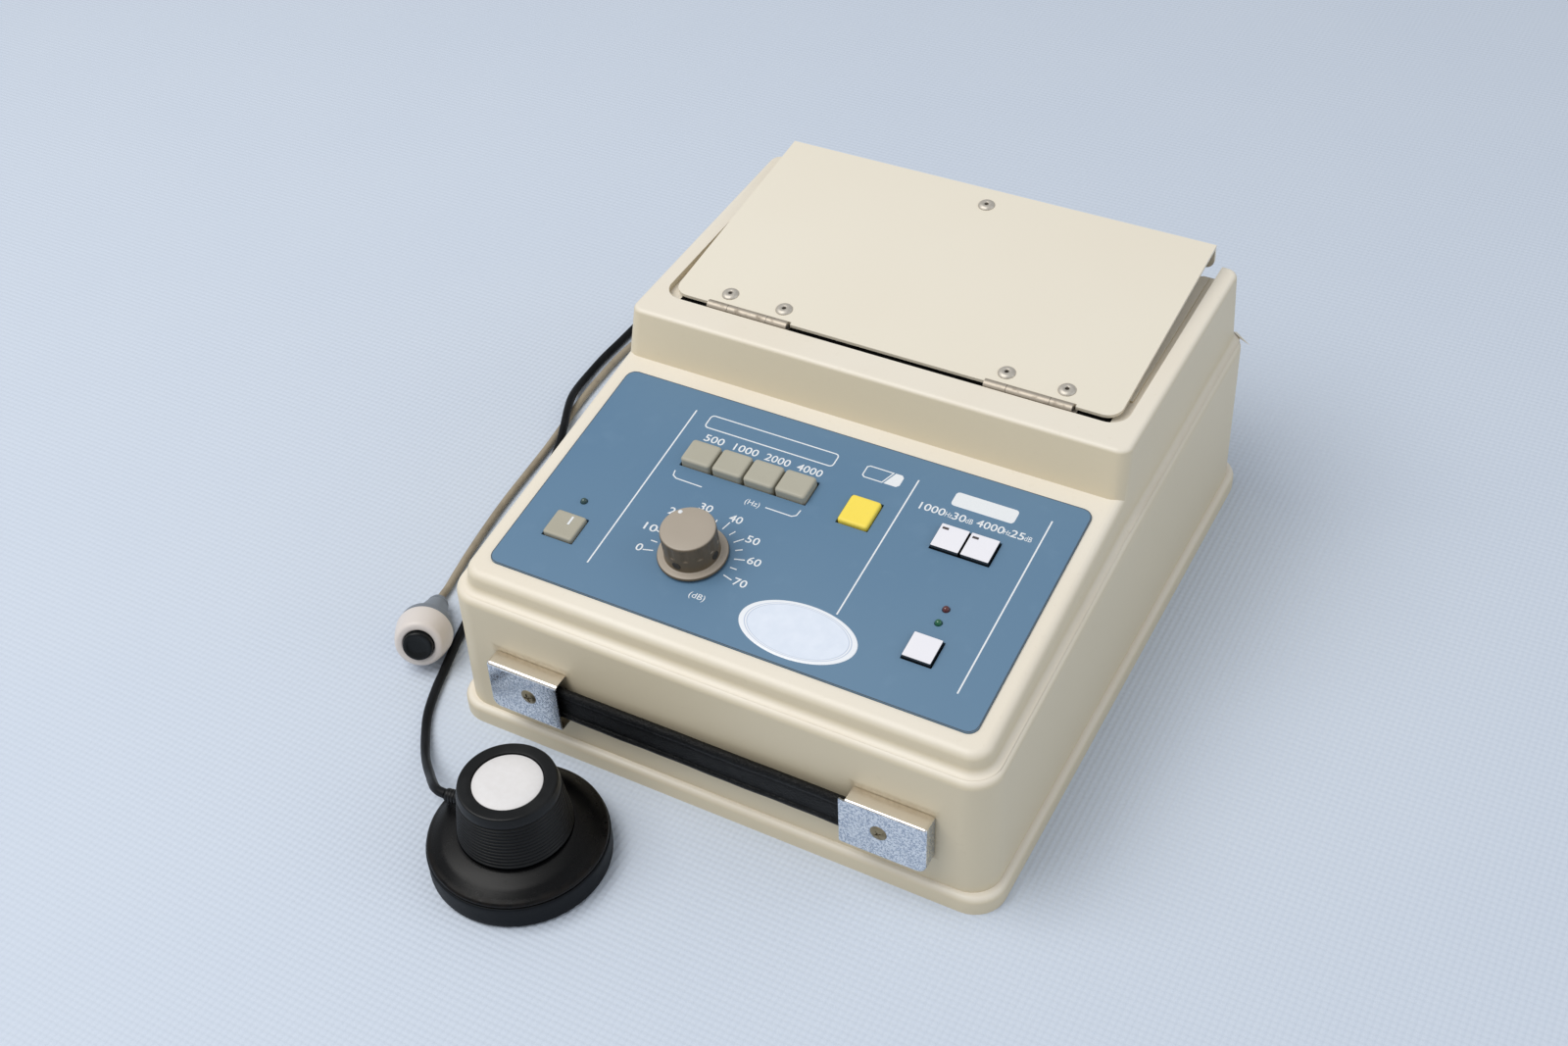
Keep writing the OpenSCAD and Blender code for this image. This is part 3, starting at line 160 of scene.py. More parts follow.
def paint(red, green, blue):
    """A colour as seen on a screen, 0 to 255, turned into Blender's linear light."""
    return tuple(((c / 255 + 0.055) / 1.055) ** 2.4 if c > 10 else c / 255 / 12.92
                 for c in (red, green, blue)) + (1.0,)


class Finish:
    """A procedural material. Nodes go in through node(), the result through set()."""

    def __init__(self, name, **plain):
        self.material = bpy.data.materials.new(name)
        self.material.use_nodes = True
        self.tree = self.material.node_tree
        self.shader = self.tree.nodes["Principled BSDF"]
        self.set(**plain)

    def feed(self, socket, value):
        if isinstance(value, Wire):
            self.tree.links.new(value.socket, socket)
        else:
            socket.default_value = value

    def node(self, kind, settings=(), sockets=(), out=0):
        made = self.tree.nodes.new(kind)
        for key, value in dict(settings).items():
            if key == "stops":
                ramp = made.color_ramp.elements
                while len(ramp) < len(value):
                    ramp.new(0.5)
                for stop, (place, colour) in zip(ramp, value):
                    stop.position, stop.color = place, colour
            else:
                setattr(made, key, value)
        for key, value in dict(sockets).items():
            self.feed(made.inputs[key], value)
        return Wire(self, made.outputs[out])

    def set(self, **values):
        for key, value in values.items():
            self.feed(self.shader.inputs[key.replace("_", " ")], value)
        return self

    def place(self):
        return self.node("ShaderNodeTexCoord", out="Object")

    def axes(self, place=None):
        place = place or self.place()
        return [self.node("ShaderNodeSeparateXYZ", (), {0: place}, out) for out in "XYZ"]

    def point(self, x, y, z):
        return self.node("ShaderNodeCombineXYZ", (), {0: x, 1: y, 2: z})

    def noise(self, per_metre, detail=2.0, rough=0.5, place=None):
        return self.node("ShaderNodeTexNoise", (), {"Vector": place or self.place(), "Scale": per_metre,
                                                   "Detail": detail, "Roughness": rough})

    def cells(self, per_metre, place=None):
        return self.node("ShaderNodeTexVoronoi", (), {"Vector": place or self.place(),
                                                     "Scale": per_metre})

    def ramp(self, value, low, high, low_to=0.0, high_to=1.0):
        return self.node("ShaderNodeMapRange", {"interpolation_type": "SMOOTHSTEP"},
                         {0: value, 1: low, 2: high, 3: low_to, 4: high_to})

    def blend(self, base, over, mask):
        return self.node("ShaderNodeMix", {"data_type": "RGBA"}, {0: mask, 6: base, 7: over}, 2)

    def bump(self, height, distance, strength=1.0):
        return self.set(Normal=self.node("ShaderNodeBump", (), {"Height": height, "Strength": strength,
                                                                "Distance": distance}))


def two_tone(name, base, over, per_metre, detail=2, **plain):
    """A finish of two near tones, mixed by fine noise."""
    made = Finish(name, **plain)
    return made.set(Base_Color=made.blend(base, over, made.noise(per_metre, detail)))


print("Wire and Finish are ready")

# %% Floor
table = Finish("table_sheet", Roughness=0.85)
x, y, z = table.axes()
dots = (table.node("ShaderNodeMath", {"operation": "SINE"}, {0: (x + y) * 1100})
        * table.node("ShaderNodeMath", {"operation": "SINE"}, {0: (x - y) * 1100}))
table.set(Base_Color=table.blend(paint(209, 218, 231), paint(203, 213, 228),
                                 table.noise(9) * 0.6 + (dots + 1) * 0.25))
table.bump(dots, 0.0003, 0.5)
sheet_mesh = bmesh.new()
bmesh.ops.create_grid(sheet_mesh, x_segments=24, y_segments=24, size=3)
floor_mesh = bpy.data.meshes.new("floor")
sheet_mesh.to_mesh(floor_mesh)
floor = link(bpy.data.objects.new("floor", floor_mesh))
floor.data.materials.append(table.material)
print("floor", [round(d, 1) for d in floor.dimensions])

# %% [markdown]
# ## The two leads
# A lead is one smooth line of a fixed length. Each leaves its hand piece straight, lies on the table beside
# the case, is wound into a flat coil behind it, and climbs to its plug in the back wall. A curve object
# keeps that line editable and its thickness true. The points are the CAD route's, in millimetres.

# %% Lead helpers
BLACK_THICK, GREY_THICK, COIL_GAP = 4.2, 3.6, 0.45
BLACK_COIL, GREY_COIL = (0, 215), (-85, 190)
BLACK_JACK, GREY_JACK = 45, -30  # each jack's place across the back wall


def length_of(points):
    return sum((b - a).length for a, b in zip(points, points[1:]))


def lead(name, stops, radius):
    """A round flex through stops, in metres, each stop's handles along its neighbours' line."""
    shape = bpy.data.curves.new(name, "CURVE")
    shape.dimensions, shape.bevel_depth, shape.bevel_resolution = "3D", radius, 3
    shape.resolution_u, shape.use_fill_caps = 4, True
    line = shape.splines.new("BEZIER")
    line.bezier_points.add(len(stops) - 1)
    for i, (knot, stop) in enumerate(zip(line.bezier_points, stops)):
        lean = (stops[min(i + 1, len(stops) - 1)] - stops[max(i - 1, 0)]) / 6
        knot.handle_left_type = knot.handle_right_type = "FREE"
        knot.co, knot.handle_left, knot.handle_right = stop, stop - lean, stop + lean
    return link(bpy.data.objects.new(name, shape))


def coil(centre, thick, gap, turns=8):
    """Stops of a flat two-layer coil, wound inwards below and outwards on top."""
    step, half = thick + gap, turns / 2
    outer, low = 5.5 * thick + step * half / 2, 1.15 + thick / 2
    stops = []
    for i in range(turns * 24 + 1):
        turn = i / 24
        r = outer - step * (turn if turn < half else turns - turn)
        z = low + step * min(1, max(0, (turn - half + 0.25) / 0.5))
        a = radians(90 + 360 * turn)
        stops.append((centre[0] + r * cos(a), centre[1] + r * sin(a), z))
    ends = [(centre[0] + side * thick, centre[1] + outer, z) for side, z in ((1, low), (-1, low + step))]
    return [ends[0]] + stops + [ends[1]], outer, low


def metres(points):
    return [Vector(p) * MM for p in points]


print("lead helpers are ready")

# %% Finishes of the leads
def rubber(name, colour, worn, rough, grain=2600, lump=0.00004, shine=0.16):
    """Soft black or grey rubber: a dull skin, a little worn and dusty in patches."""
    made = Finish(name, Roughness=rough, Specular_IOR_Level=shine)
    patch = made.ramp(made.noise(70, 4), 0.42, 0.7)
    fine = made.noise(grain, 2)
    made.set(Base_Color=made.blend(colour, worn, patch * 0.8 + fine * 0.1),
             Roughness=rough + patch * 0.12 + (fine - 0.5) * 0.1)
    made.bump(fine + made.noise(420, 2) * 1.5, lump, 0.6)
    return made


black_flex = rubber("black_lead", paint(10, 12, 15), paint(26, 28, 31), 0.42)
grey_flex = rubber("grey_lead", paint(163, 152, 134), paint(141, 131, 115), 0.5)
print("lead finishes:", black_flex.material.name, grey_flex.material.name)

# %% The receiver's black lead
RECEIVER = (-58.6, -205.2)
RELIEF_AT, RELIEF_LONG, RELIEF_TURN = 24.118, 8.0, radians(185)
JACK_Y, JACK_Z, PLUG_END = 147.26, 40, 183.261  # the jacks' seat in the back wall, the plugs' tails


def relief_point(e):
    reach = RELIEF_AT + RELIEF_LONG + e
    return (RECEIVER[0] + reach * cos(RELIEF_TURN), RECEIVER[1] + reach * sin(RELIEF_TURN), 24)


loops, outer, low = coil(BLACK_COIL, BLACK_THICK, COIL_GAP)
way_in = [(45, PLUG_END, JACK_Z), (45, PLUG_END + 5, JACK_Z), (45, 198, 37), (44.6, 207, 31), (43.6, 218, 22),
          (41, 229, 13.5), (35, 237, 7.6), (26, 215 + outer - 1.2, 4.4), (15, 215 + outer, low)]
way_out = [(-14, 215 + outer, 7), (-26, 215 + outer, 5), (-40, 215 + outer - 0.6, 2.6),
           (-60, 215 + outer - 1.4, 2.2), (-85, 243.5, 2.2), (-110, 242.5, 2.2), (-135, 238.5, 2.2),
           (-158, 229.5, 2.2), (-177, 215.5, 2.2), (-191, 196.5, 2.2), (-200, 174.5, 2.2),
           (-204.5, 150.5, 2.2), (-205.5, 128.5, 2.2), (-206, 110.5, 2.2), (-206.6, 94.5, 2.2),
           (-206.2, 80.5, 2.2), (-204.5, 66.5, 3.4), (-201, 54.5, 5.6), (-196.4, 43.5, 6.4),
           (-191.4, 32.5, 6), (-187, 20.5, 3.6), (-183.4, 6.5, 2.2), (-180, -11.5, 2.2),
           (-176, -31.5, 2.2), (-171, -51.5, 2.2), (-166, -71.5, 2.2), (-160.6, -91.5, 2.2),
           (-156, -108.5, 2.2), (-152.4, -121.5, 2.2), (-148.6, -133.5, 2.2), (-144.6, -146.5, 2.2),
           (-139.4, -159.5, 2.2), (-133, -170.1, 2.6), (-123.8, -182.1, 5.6), (-116.1, -190.1, 9.8),
           (-110.6, -195.1, 13.1), (-105.2, -200.1, 17.2), (-101.9, -203, 19.8), (-98.5, -205.8, 22.1),
           (-94.8, -207.7, 23.6), relief_point(0.2)]
black_stops = metres(way_in + loops + way_out)[::-1]
black_lead = lead("receiver_lead", black_stops, BLACK_THICK / 2 * MM)
black_lead.data.materials.append(black_flex.material)
black_length = length_of(black_stops)
print("receiver's lead: %.3f m, %d stops" % (black_length, len(black_stops)))

# %% The push switch's grey lead
HEAD_TILT, HEAD_TURN = radians(72.4), radians(-64.5)
HEAD = Vector((-157.2, -138.1, 17.447))
HEAD_AIM = Vector((sin(HEAD_TILT) * cos(HEAD_TURN), sin(HEAD_TILT) * sin(HEAD_TURN), cos(HEAD_TILT)))
grey_loops, outer, low = coil(GREY_COIL, GREY_THICK, COIL_GAP)
grey_in = [(-30, PLUG_END, JACK_Z), (-30, PLUG_END + 4, JACK_Z), (-30.8, 196, 36), (-33, 204, 28.4),
           (-36.6, 209, 20), (-42.4, 212, 12.4), (-51, 213.4, 6.8), (-62, 213.6, 4),
           (-71, 190 + outer, low)]
grey_out = [(-98, 190 + outer, 6.2), (-110, 213.5, 4), (-123, 212.1, 2), (-140, 207.5, 1.9),
            (-156, 199.5, 1.9), (-170, 187.5, 1.9), (-181, 172.5, 1.9), (-189, 154.5, 1.9),
            (-194.6, 135.5, 1.9), (-198, 116.5, 1.9), (-199.6, 100.5, 1.9), (-199.4, 82.5, 1.9),
            (-198.6, 66.5, 1.9), (-197.2, 52.5, 1.9), (-195, 36.5, 1.9), (-192.8, 18.5, 1.9),
            (-191, -1.5, 1.9), (-189.4, -21.5, 1.9), (-187, -41.5, 1.9), (-183.6, -63.5, 1.9),
            (-180.6, -79.5, 1.9), (-178.4, -89.5, 2.1), HEAD - HEAD_AIM * 48.5, HEAD - HEAD_AIM * 42]
grey_stops = metres(grey_in + grey_loops + grey_out)[::-1]
grey_lead = lead("response_lead", grey_stops, GREY_THICK / 2 * MM)
grey_lead.data.materials.append(grey_flex.material)
grey_length = length_of(grey_stops)
print("push switch's lead: %.3f m, %d stops" % (grey_length, len(grey_stops)))

# %% [markdown]
# ## Turned and moulded pieces
# Many pieces here are round: the receiver, the switch, the knob, the plugs. Each is one profile spun about
# its own line. `spin` closes the profile on itself where it touches the line, and `soft` rounds the edges
# that are sharper than a given turn.

# %% Mesh helpers
def piece(name, mesh, finish, body, *nodes):
    """A new object for a mesh in the row frame, riding on a body and standing for CAD nodes."""
    made = link(bpy.data.objects.new(name, mesh)) if isinstance(mesh, bpy.types.Mesh) else mesh
    if finish:
        made.data.materials.append(finish.material)
    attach(made, body)
    if nodes:
        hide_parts(*nodes)
    return made


def mesh_of(name, points, faces, where=None, smooth=True):
    """A mesh from points in millimetres, set in place by a matrix that is in metres."""
    mesh = bpy.data.meshes.new(name)
    mesh.from_pydata([Vector(p) * MM for p in points], [], faces)
    if where:
        mesh.transform(where)
    mesh.polygons.foreach_set("use_smooth", [smooth] * len(mesh.polygons))
    return mesh


def spin(name, profile, where=None, sides=96, wave=None):
    """Spins (radius, height) pairs about z. wave(angle, radius, height) may shift a radius."""
    points, rows = [], []
    for r, h in profile:
        if r < 1e-6:
            rows.append([len(points)] * sides)
            points.append((0, 0, h))
            continue
        rows.append(list(range(len(points), len(points) + sides)))
        for i in range(sides):
            a = 2 * pi * i / sides
            reach = r + (wave(a, r, h) if wave else 0)
            points.append((reach * cos(a), reach * sin(a), h))
    faces = []
    for under, over in zip(rows, rows[1:]):
        for i in range(sides):
            j = (i + 1) % sides
            corner = [under[i], under[j], over[j], over[i]]
            faces.append([c for k, c in enumerate(corner) if c != corner[k - 1]])
    return mesh_of(name, points, [f for f in faces if len(f) > 2], where)


def spun(name, profile, where, sides, finish, body, *nodes, slot="", wave=None):
    """A piece made of one spun profile."""
    made = piece(name, spin(name, profile, where, sides, wave), finish, body, *nodes)
    return made


def bend_of(centre, radius, start, end, steps=4):
    """Points of a rounded corner in a profile, angles in degrees."""
    return [(centre[0] + radius * cos(radians(start + (end - start) * i / steps)),
             centre[1] + radius * sin(radians(start + (end - start) * i / steps)))
            for i in range(steps + 1)]


def soft(obj, width, turn=35, steps=3, weigh=True):
    """Rounds sharp edges, width in millimetres, and lets broad faces rule the shading."""
    edge = obj.modifiers.new("soft_edges", "BEVEL")
    edge.width, edge.segments, edge.limit_method = width * MM, steps, "ANGLE"
    edge.angle_limit, edge.harden_normals = radians(turn), False
    if weigh:
        obj.modifiers.new("broad_faces", "WEIGHTED_NORMAL").weight = 90
    return obj


def spot(x, y, z, tilt=0.0, axis="X"):
    return Matrix.Translation(Vector((x, y, z)) * MM) @ Matrix.Rotation(tilt, 4, axis)


print("mesh helpers are ready")

# %% Places that the CAD pieces are drawn in
PLATE_FRONT, DECK_HIGH, STEP_BACK, TOP_HIGH = -132.6, 84.65, 1.9, 124.05
LOW_FRONT, WALL_LEAN, DECK_TILT, TOP_TILT = -148.3, radians(0.8551), radians(8.1), radians(1)
LID_AXIS_BACK, LID_AXIS_DOWN, LID_AJAR = 16.9, 0.4, radians(4.9)
on_deck = spot(0, PLATE_FRONT, DECK_HIGH, DECK_TILT)
on_top = spot(0, STEP_BACK, TOP_HIGH, TOP_TILT)
on_front = spot(0, LOW_FRONT, 2, -WALL_LEAN)
swung_lid = (on_top @ spot(0, LID_AXIS_BACK, -LID_AXIS_DOWN, LID_AJAR)
             @ spot(0, -LID_AXIS_BACK, LID_AXIS_DOWN))
on_receiver = spot(*RECEIVER, 0)
on_switch = (Matrix.Translation(HEAD * MM) @ Matrix.Rotation(HEAD_TURN, 4, "Z")
             @ Matrix.Rotation(HEAD_TILT, 4, "Y"))
at_plug = {x: spot(x, JACK_Y, JACK_Z, -pi / 2) for x in (BLACK_JACK, GREY_JACK)}
print("deck level", [round(c, 4) for c in on_deck @ Vector((0, 0, 0))])

# %% [markdown]
# ## Plugs, ties and the leads' declaration
# Each lead ends in a moulded quarter-inch plug with finger rings, pushed into the back wall. A flat white
# tie holds each coil.

# %% Plugs
black_mould = rubber("black_plastic", paint(4, 6, 8), paint(16, 18, 20), 0.36, 1800, 0.00001, 0.3)
grey_mould = rubber("grey_plug", paint(142, 138, 128), paint(120, 116, 106), 0.45, 1800)


def plug(name, x, thick, finish, node):
    rings = []
    for k in range(7):
        h = 4.2 + k * 2.4
        rings += [(6.75, h), (6.75, h + 1.2), (6.1, h + 1.5), (6.1, h + 2.1)]
    shape = ([(0, -18), (1.4, -17.8), (2.6, -15.5), (2.2, -14.2), (3.15, -13), (3.15, 2.1), (5.9, 2.1)]
             + bend_of((5.9, 3), 0.9, -90, 0) + rings + bend_of((5.6, 21.1), 0.9, 0, 90)
             + [(5.2, 22.0), (5.0, 22.4)]
             + [(5.3 - k * 0.28 - (0.5 if k % 2 else 0), 23 + k * 1.15) for k in range(11)]
             + [(thick / 2 + 0.5, 35.9), (0, 35.9)])
    return spun(name, shape, at_plug[x], 48, finish, "case", node)


black_plug = plug("receiver_plug_moulded", BLACK_JACK, BLACK_THICK, black_mould, "receiver_plug")
grey_plug = plug("response_plug_moulded", GREY_JACK, GREY_THICK, grey_mould, "response_plug")
print("plugs:", black_plug.name, grey_plug.name)

# %% Ties
tie_nylon = two_tone("tie_white", paint(228, 227, 222), paint(214, 211, 202), 300, 3, Roughness=0.4,
                     Base_Color=paint(226, 225, 220))
tie_nylon.bump(tie_nylon.noise(900, 2), 0.00003)


def tie(name, centre, thick, gap=COIL_GAP, turns=8):
    """A flat band round the bundle."""
    step = thick + gap
    outer = 5.5 * thick + step * turns / 4
    near = outer - step * turns / 2 - thick / 2 - 0.35
    far = outer + thick / 2 + 0.35
    high = 2 * 0.35 + step + thick + 0.8
    ring = [(near, 0.4), (near + 1.5, 0.4), (far - 1.5, 0.4)] + [
        (far - 1.5 + 1.5 * sin(radians(a)), 1.9 - 1.5 * cos(radians(a))) for a in (30, 60, 90)] + [
        (far, high - 1.5)] + [(far - 1.5 + 1.5 * cos(radians(a)), high - 1.5 + 1.5 * sin(radians(a)))
                              for a in (30, 60, 90)] + [(near + 1.5, high)] + [
        (near + 1.5 - 1.5 * sin(radians(a)), high - 1.5 + 1.5 * cos(radians(a))) for a in (30, 60, 90)]
    ring = ring[1:] + [(near, 1.9), (near + 0.45, 0.85)]
    points, faces, n = [], [], len(ring)
    mid = Vector(((near + far) / 2, (high + 0.4) / 2, 0))
    for side in (-3.3, 3.3):
        for depth in (0, 0.38):
            for r, h in ring:
                out = (Vector((r, h, 0)) - mid).normalized() * depth
                points.append((centre[0] + side, centre[1] - r - out.x, h + out.y))
    for i in range(n):
        j = (i + 1) % n
        for a, b in ((0, 1), (1, 3), (3, 2), (2, 0)):
            faces.append([a * n + i, a * n + j, b * n + j, b * n + i])
    return soft(piece(name, mesh_of(name, points, faces), tie_nylon, "case", "coil_ties"), 0.15, 50, 2,
                False)


black_tie = tie("receiver_lead_tie", BLACK_COIL, BLACK_THICK)
grey_tie = tie("response_lead_tie", GREY_COIL, GREY_THICK)
print("ties:", [round(d * 1000, 1) for d in black_tie.dimensions])

# %% Declaring the leads
piece("", black_lead, None, "case", "receiver_cord", "receiver_cord_coil")
piece("", grey_lead, None, "case", "response_cord", "response_cord_coil")
print("leads declared: %.2f m and %.2f m" % (black_length, grey_length))

# %% [markdown]
# ## The cream case
# The case is built as one cream moulding, with soft edges everywhere and a faint spark texture. The CAD
# solid has its forms but crisp edges, so a copy of it is softened: flat triangles are merged first, then a
# bevel rounds what is left sharp, also in the hollow corner above the ledge.

# %% Softened copies of CAD nodes
def dressed(node, finish, edge=0.5, turn=35, steps=3, merge=0.6, cove=None):
    """A softened copy of a CAD node, in its place on its body."""
    source = frame["nodes"][node]
    mesh = source.data.copy()
    work = bmesh.new()
    work.from_mesh(mesh)
    bmesh.ops.remove_doubles(work, verts=work.verts, dist=1e-5)
    bmesh.ops.dissolve_limit(work, angle_limit=radians(merge), verts=work.verts, edges=work.edges)
    if cove:
        bmesh.ops.bevel(work, geom=[e for e in work.edges if cove(e)], offset=3 * MM, segments=6,
                        profile=0.5, offset_type="OFFSET", affect="EDGES", clamp_overlap=False)
    for face in work.faces:
        face.smooth = True
    work.to_mesh(mesh)
    work.free()
    mesh.materials.clear()
    made = piece("", link(bpy.data.objects.new(node + "_skin", mesh)), finish, source["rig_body"], node)
    return soft(made, edge, turn, steps)


CAP_MID_X, CAP_HALF_X, CAP_MID_Z, CAP_HALF_Z = 0.0852, 0.0175, 0.0372, 0.0128  # the caps' outline


def moulded(name, colour, yellowed, rough=0.42, texture=0.00003, side=None):
    """Textured plastic: spark grain, a little yellowing in broad patches, faint handling marks.

    side is painted shade: a deeper tone that upright faces take for the shade they fall in; with it comes a
    little grime round the handle's caps."""
    made = Finish(name, Roughness=rough)
    broad = made.noise(14, 3)
    marks = made.ramp(made.noise(260, 4, 0.6), 0.62, 0.8)
    tone = made.blend(colour, yellowed, made.ramp(broad, 0.35, 0.75) * 0.6)
    if side:
        # Upright faces take the side tone: painted shade.
        rise = made.axes(made.node("ShaderNodeNewGeometry", out="Normal"))[2]
        tone = made.blend(side, tone, made.ramp(rise, 0.2, 0.97))
        x, y, z = made.axes()
        wide = (x.sum("ABSOLUTE", x) - CAP_MID_X) / CAP_HALF_X
        tall = (z - CAP_MID_Z) / CAP_HALF_Z
        near = made.ramp(wide.sum("MAXIMUM", wide.sum("ABSOLUTE", wide), tall.sum("ABSOLUTE", tall)),
                         1.18, 1.0) * (y < -0.14)
        tone = made.blend(tone, paint(150, 126, 88), near * made.noise(500, 3) * 0.7)
    made.set(Base_Color=made.blend(tone, paint(186, 172, 144), marks * 0.12),
             Roughness=rough + (broad - 0.5) * 0.12 + marks * 0.1)
    made.bump(made.noise(1500, 2) + made.cells(900) * 0.7, texture, 0.5)
    return made


# The case's side tone is painted shade on its upright walls.
case_cream = moulded("case_plastic", paint(235, 227, 212), paint(231, 220, 201), side=paint(219, 206, 178))


def foot_of_deck(edge):
    """True for the hollow corner where the deck's outer wall stands on the ledge."""
    if len(edge.link_faces) != 2 or edge.is_convex or edge.calc_face_angle(0) < radians(40):
        return False
    rise = sorted(face.normal.z for face in edge.link_faces)
    x, y, z = (edge.verts[0].co + edge.verts[1].co) / 2
    return (rise[1] > 0.9 and abs(rise[0]) < 0.45 and 0.066 < z < 0.1
            and (abs(x) > 0.115 or y < -0.136 or y > 0.12))


case = dressed("upper_case", case_cream, 2.4, 28, 5, cove=foot_of_deck)
print("case:", len(case.data.polygons), "faces after merging")

# %% Base, pads and screws
def fitted(finish, *nodes):
    """Gives CAD nodes a finish where their shape is right already."""
    for node in nodes:
        mesh = frame["nodes"][node].data
        for k in range(max(1, len(mesh.materials))):
            if mesh.materials:
                mesh.materials[k] = finish.material
            else:
                mesh.materials.append(finish.material)


def brushed(name, colour, dull, rough, metal=1.0, grain=900, texture=0.00001):
    """Bare or plated metal with fine scratches and dull spots."""
    made = Finish(name, Roughness=rough, Metallic=metal)
    spots = made.ramp(made.noise(220, 4, 0.6), 0.5, 0.75)
    made.set(Base_Color=made.blend(colour, dull, spots * 0.7), Roughness=rough + spots * 0.22)
    made.bump(made.noise(grain, 3), texture, 0.4)
    return made


base_cream = moulded("base_plastic", paint(206, 197, 176), paint(196, 184, 158), 0.55, 0.00006)
pad_rubber = rubber("rubber", paint(34, 34, 36), paint(58, 57, 55), 0.7, 1400)
steel = brushed("steel", paint(178, 178, 176), paint(138, 134, 126), 0.32)
inner_steel = brushed("inner_steel", paint(170, 171, 172), paint(140, 138, 134), 0.38)
dressed("bottom_plate", base_cream, 0.4, 40, 2)
dressed("rubber_pads", pad_rubber, 0.35, 40, 2)
fitted(inner_steel, "case_screws", "board_screws")
print("base, four pads and six screws dressed")

# %% [markdown]
# ## Storage well and lid
# Behind the controls a lid, taken to be painted sheet metal, closes a well that isn't seen. It stands a
# little open. Four rivets hold its two hinges, and a fifth is taken to hold the keeper of a magnet catch.
# Each is a bright ring with a dark middle: the pin's own darker steel, with painted shade of the hollow it
# sits in.

# %% Well, catch and hinges
lid_paint = Finish("lid_sheet", Roughness=0.4)
speck = lid_paint.ramp(lid_paint.noise(700, 3, 0.7), 0.66, 0.74)
tone = lid_paint.blend(paint(235, 228, 212), paint(231, 222, 204), lid_paint.noise(9, 2))
lid_paint.set(Base_Color=lid_paint.blend(tone, paint(178, 164, 138), speck * 0.1),
              Roughness=0.38 + speck * 0.15)
lid_paint.bump(lid_paint.noise(800, 2), 0.00004, 0.35)
magnet = moulded("magnet_block", paint(92, 84, 74), paint(76, 69, 61), 0.5)
dressed("storage_well", case_cream, 0.8, 35, 3)
dressed("magnet_catch", magnet, 0.4, 35, 2)
dressed("lid", lid_paint, 0.7, 35, 3)
fitted(steel, "lid_keeper", "hinge_pins", "hinge_screws")
dull_steel = brushed("hinge_steel", paint(186, 176, 162), paint(140, 128, 112), 0.5, 0.75)
for leaves in ("hinge_fixed_leaves", "hinge_moving_leaves"):
    dressed(leaves, dull_steel, 0.12, 35, 2)

# %% Rivets
rivet_metal = Finish("rivet_metal", Metallic=0.7, Roughness=0.4)
worn = rivet_metal.noise(1200, 3)
rivet_metal.set(Base_Color=rivet_metal.blend(paint(222, 216, 206), paint(182, 174, 162), worn),
                Roughness=0.4 + worn * 0.2)
# The pins are darker than the rings: partly their own steel, partly painted shade of the rivet's hollow.
mandrel_and_shade = brushed("rivet_mandrel", paint(88, 82, 74), paint(52, 46, 40), 0.5)
HINGES, RIVET_APART, RIVET_BACK, KEEPER_BACK, LID_TOP = 67.8, 13.8, 25.9, 126.3, 0.2
spots = [(side * HINGES + d, RIVET_BACK) for side in (-1, 1) for d in (-RIVET_APART, RIVET_APART)]
for k, (across, back) in enumerate(spots + [(0, KEEPER_BACK)]):
    place = swung_lid @ spot(across, back, LID_TOP)
    ring = [(0.95, -2.2), (0.95, 0.55)] + bend_of((1.35, 0.75), 0.4, 180, 90, 3) + [
        (2.2, 1.32), (2.9, 1.1), (3.5, 0.72), (3.9, 0.28), (4.0, 0.02), (2.05, 0), (2.05, -2.2),
        (2.7, -2.3), (2.6, -3.3), (1.4, -3.8), (0, -3.9)]
    spun("lid_rivet_%d" % k, ring, place, 32, rivet_metal, "lid", "lid_rivets", slot="steel")
    pin = [(0, -2.1), (0.9, -2.1), (0.9, 0.2), (0.72, 0.5), (0.4, 0.42), (0, 0.62)]
    spun("rivet_pin_%d" % k, pin, place, 16, mandrel_and_shade, "lid")
print(k + 1, "rivets on the lid")

# %% [markdown]
# ## The control plate
# A thin blue printed sheet lies in a shallow recess of the sloping deck. Its print is white: scale marks
# and numbers, outlines and three dividing lines. Every mark is a thin flat mesh on the sheet, so that it
# stays sharp however near the camera comes. The maker's words of the real plate are left off.

# %% Plate
plate_blue = Finish("plate", Roughness=0.42)
fine = plate_blue.noise(1600, 2)
sheen = plate_blue.noise(5, 2)
tone = plate_blue.blend(paint(88, 123, 153), paint(99, 131, 158), plate_blue.ramp(sheen, 0.3, 0.7))
plate_blue.set(Base_Color=plate_blue.blend(tone, paint(120, 150, 176), plate_blue.ramp(
    plate_blue.noise(90, 4), 0.55, 0.85) * 0.18), Roughness=0.38 + fine * 0.1)
plate_blue.bump(fine, 0.00002, 0.3)
dressed("control_plate", plate_blue, 0.12, 35, 2)

# %% Print helpers
PRINT_HIGH = 0.02


def strip(points, wide=0.7, closed=False):
    """A flat line along points (across, back) on the plate, mitred at its corners."""
    line = [Vector(p) for p in points]
    n = len(line)
    flat = []
    for i, p in enumerate(line):
        before = line[i - 1] if closed or i else None
        after = line[(i + 1) % n] if closed or i < n - 1 else None
        ways = [(b - a).normalized() for a, b in ((before, p), (p, after)) if a is not None
                and b is not None]
        side = sum((Vector((-w.y, w.x)) for w in ways), Vector((0, 0))).normalized()
        grow = wide / 2 / max(0.5, side.dot(Vector((-ways[0].y, ways[0].x))))
        flat += [p + side * grow, p - side * grow]
    faces = [[2 * i, 2 * i + 1, (2 * i + 3) % (2 * n), (2 * i + 2) % (2 * n)]
             for i in range(n if closed else n - 1)]
    return [(p.x, p.y, PRINT_HIGH) for p in flat], faces


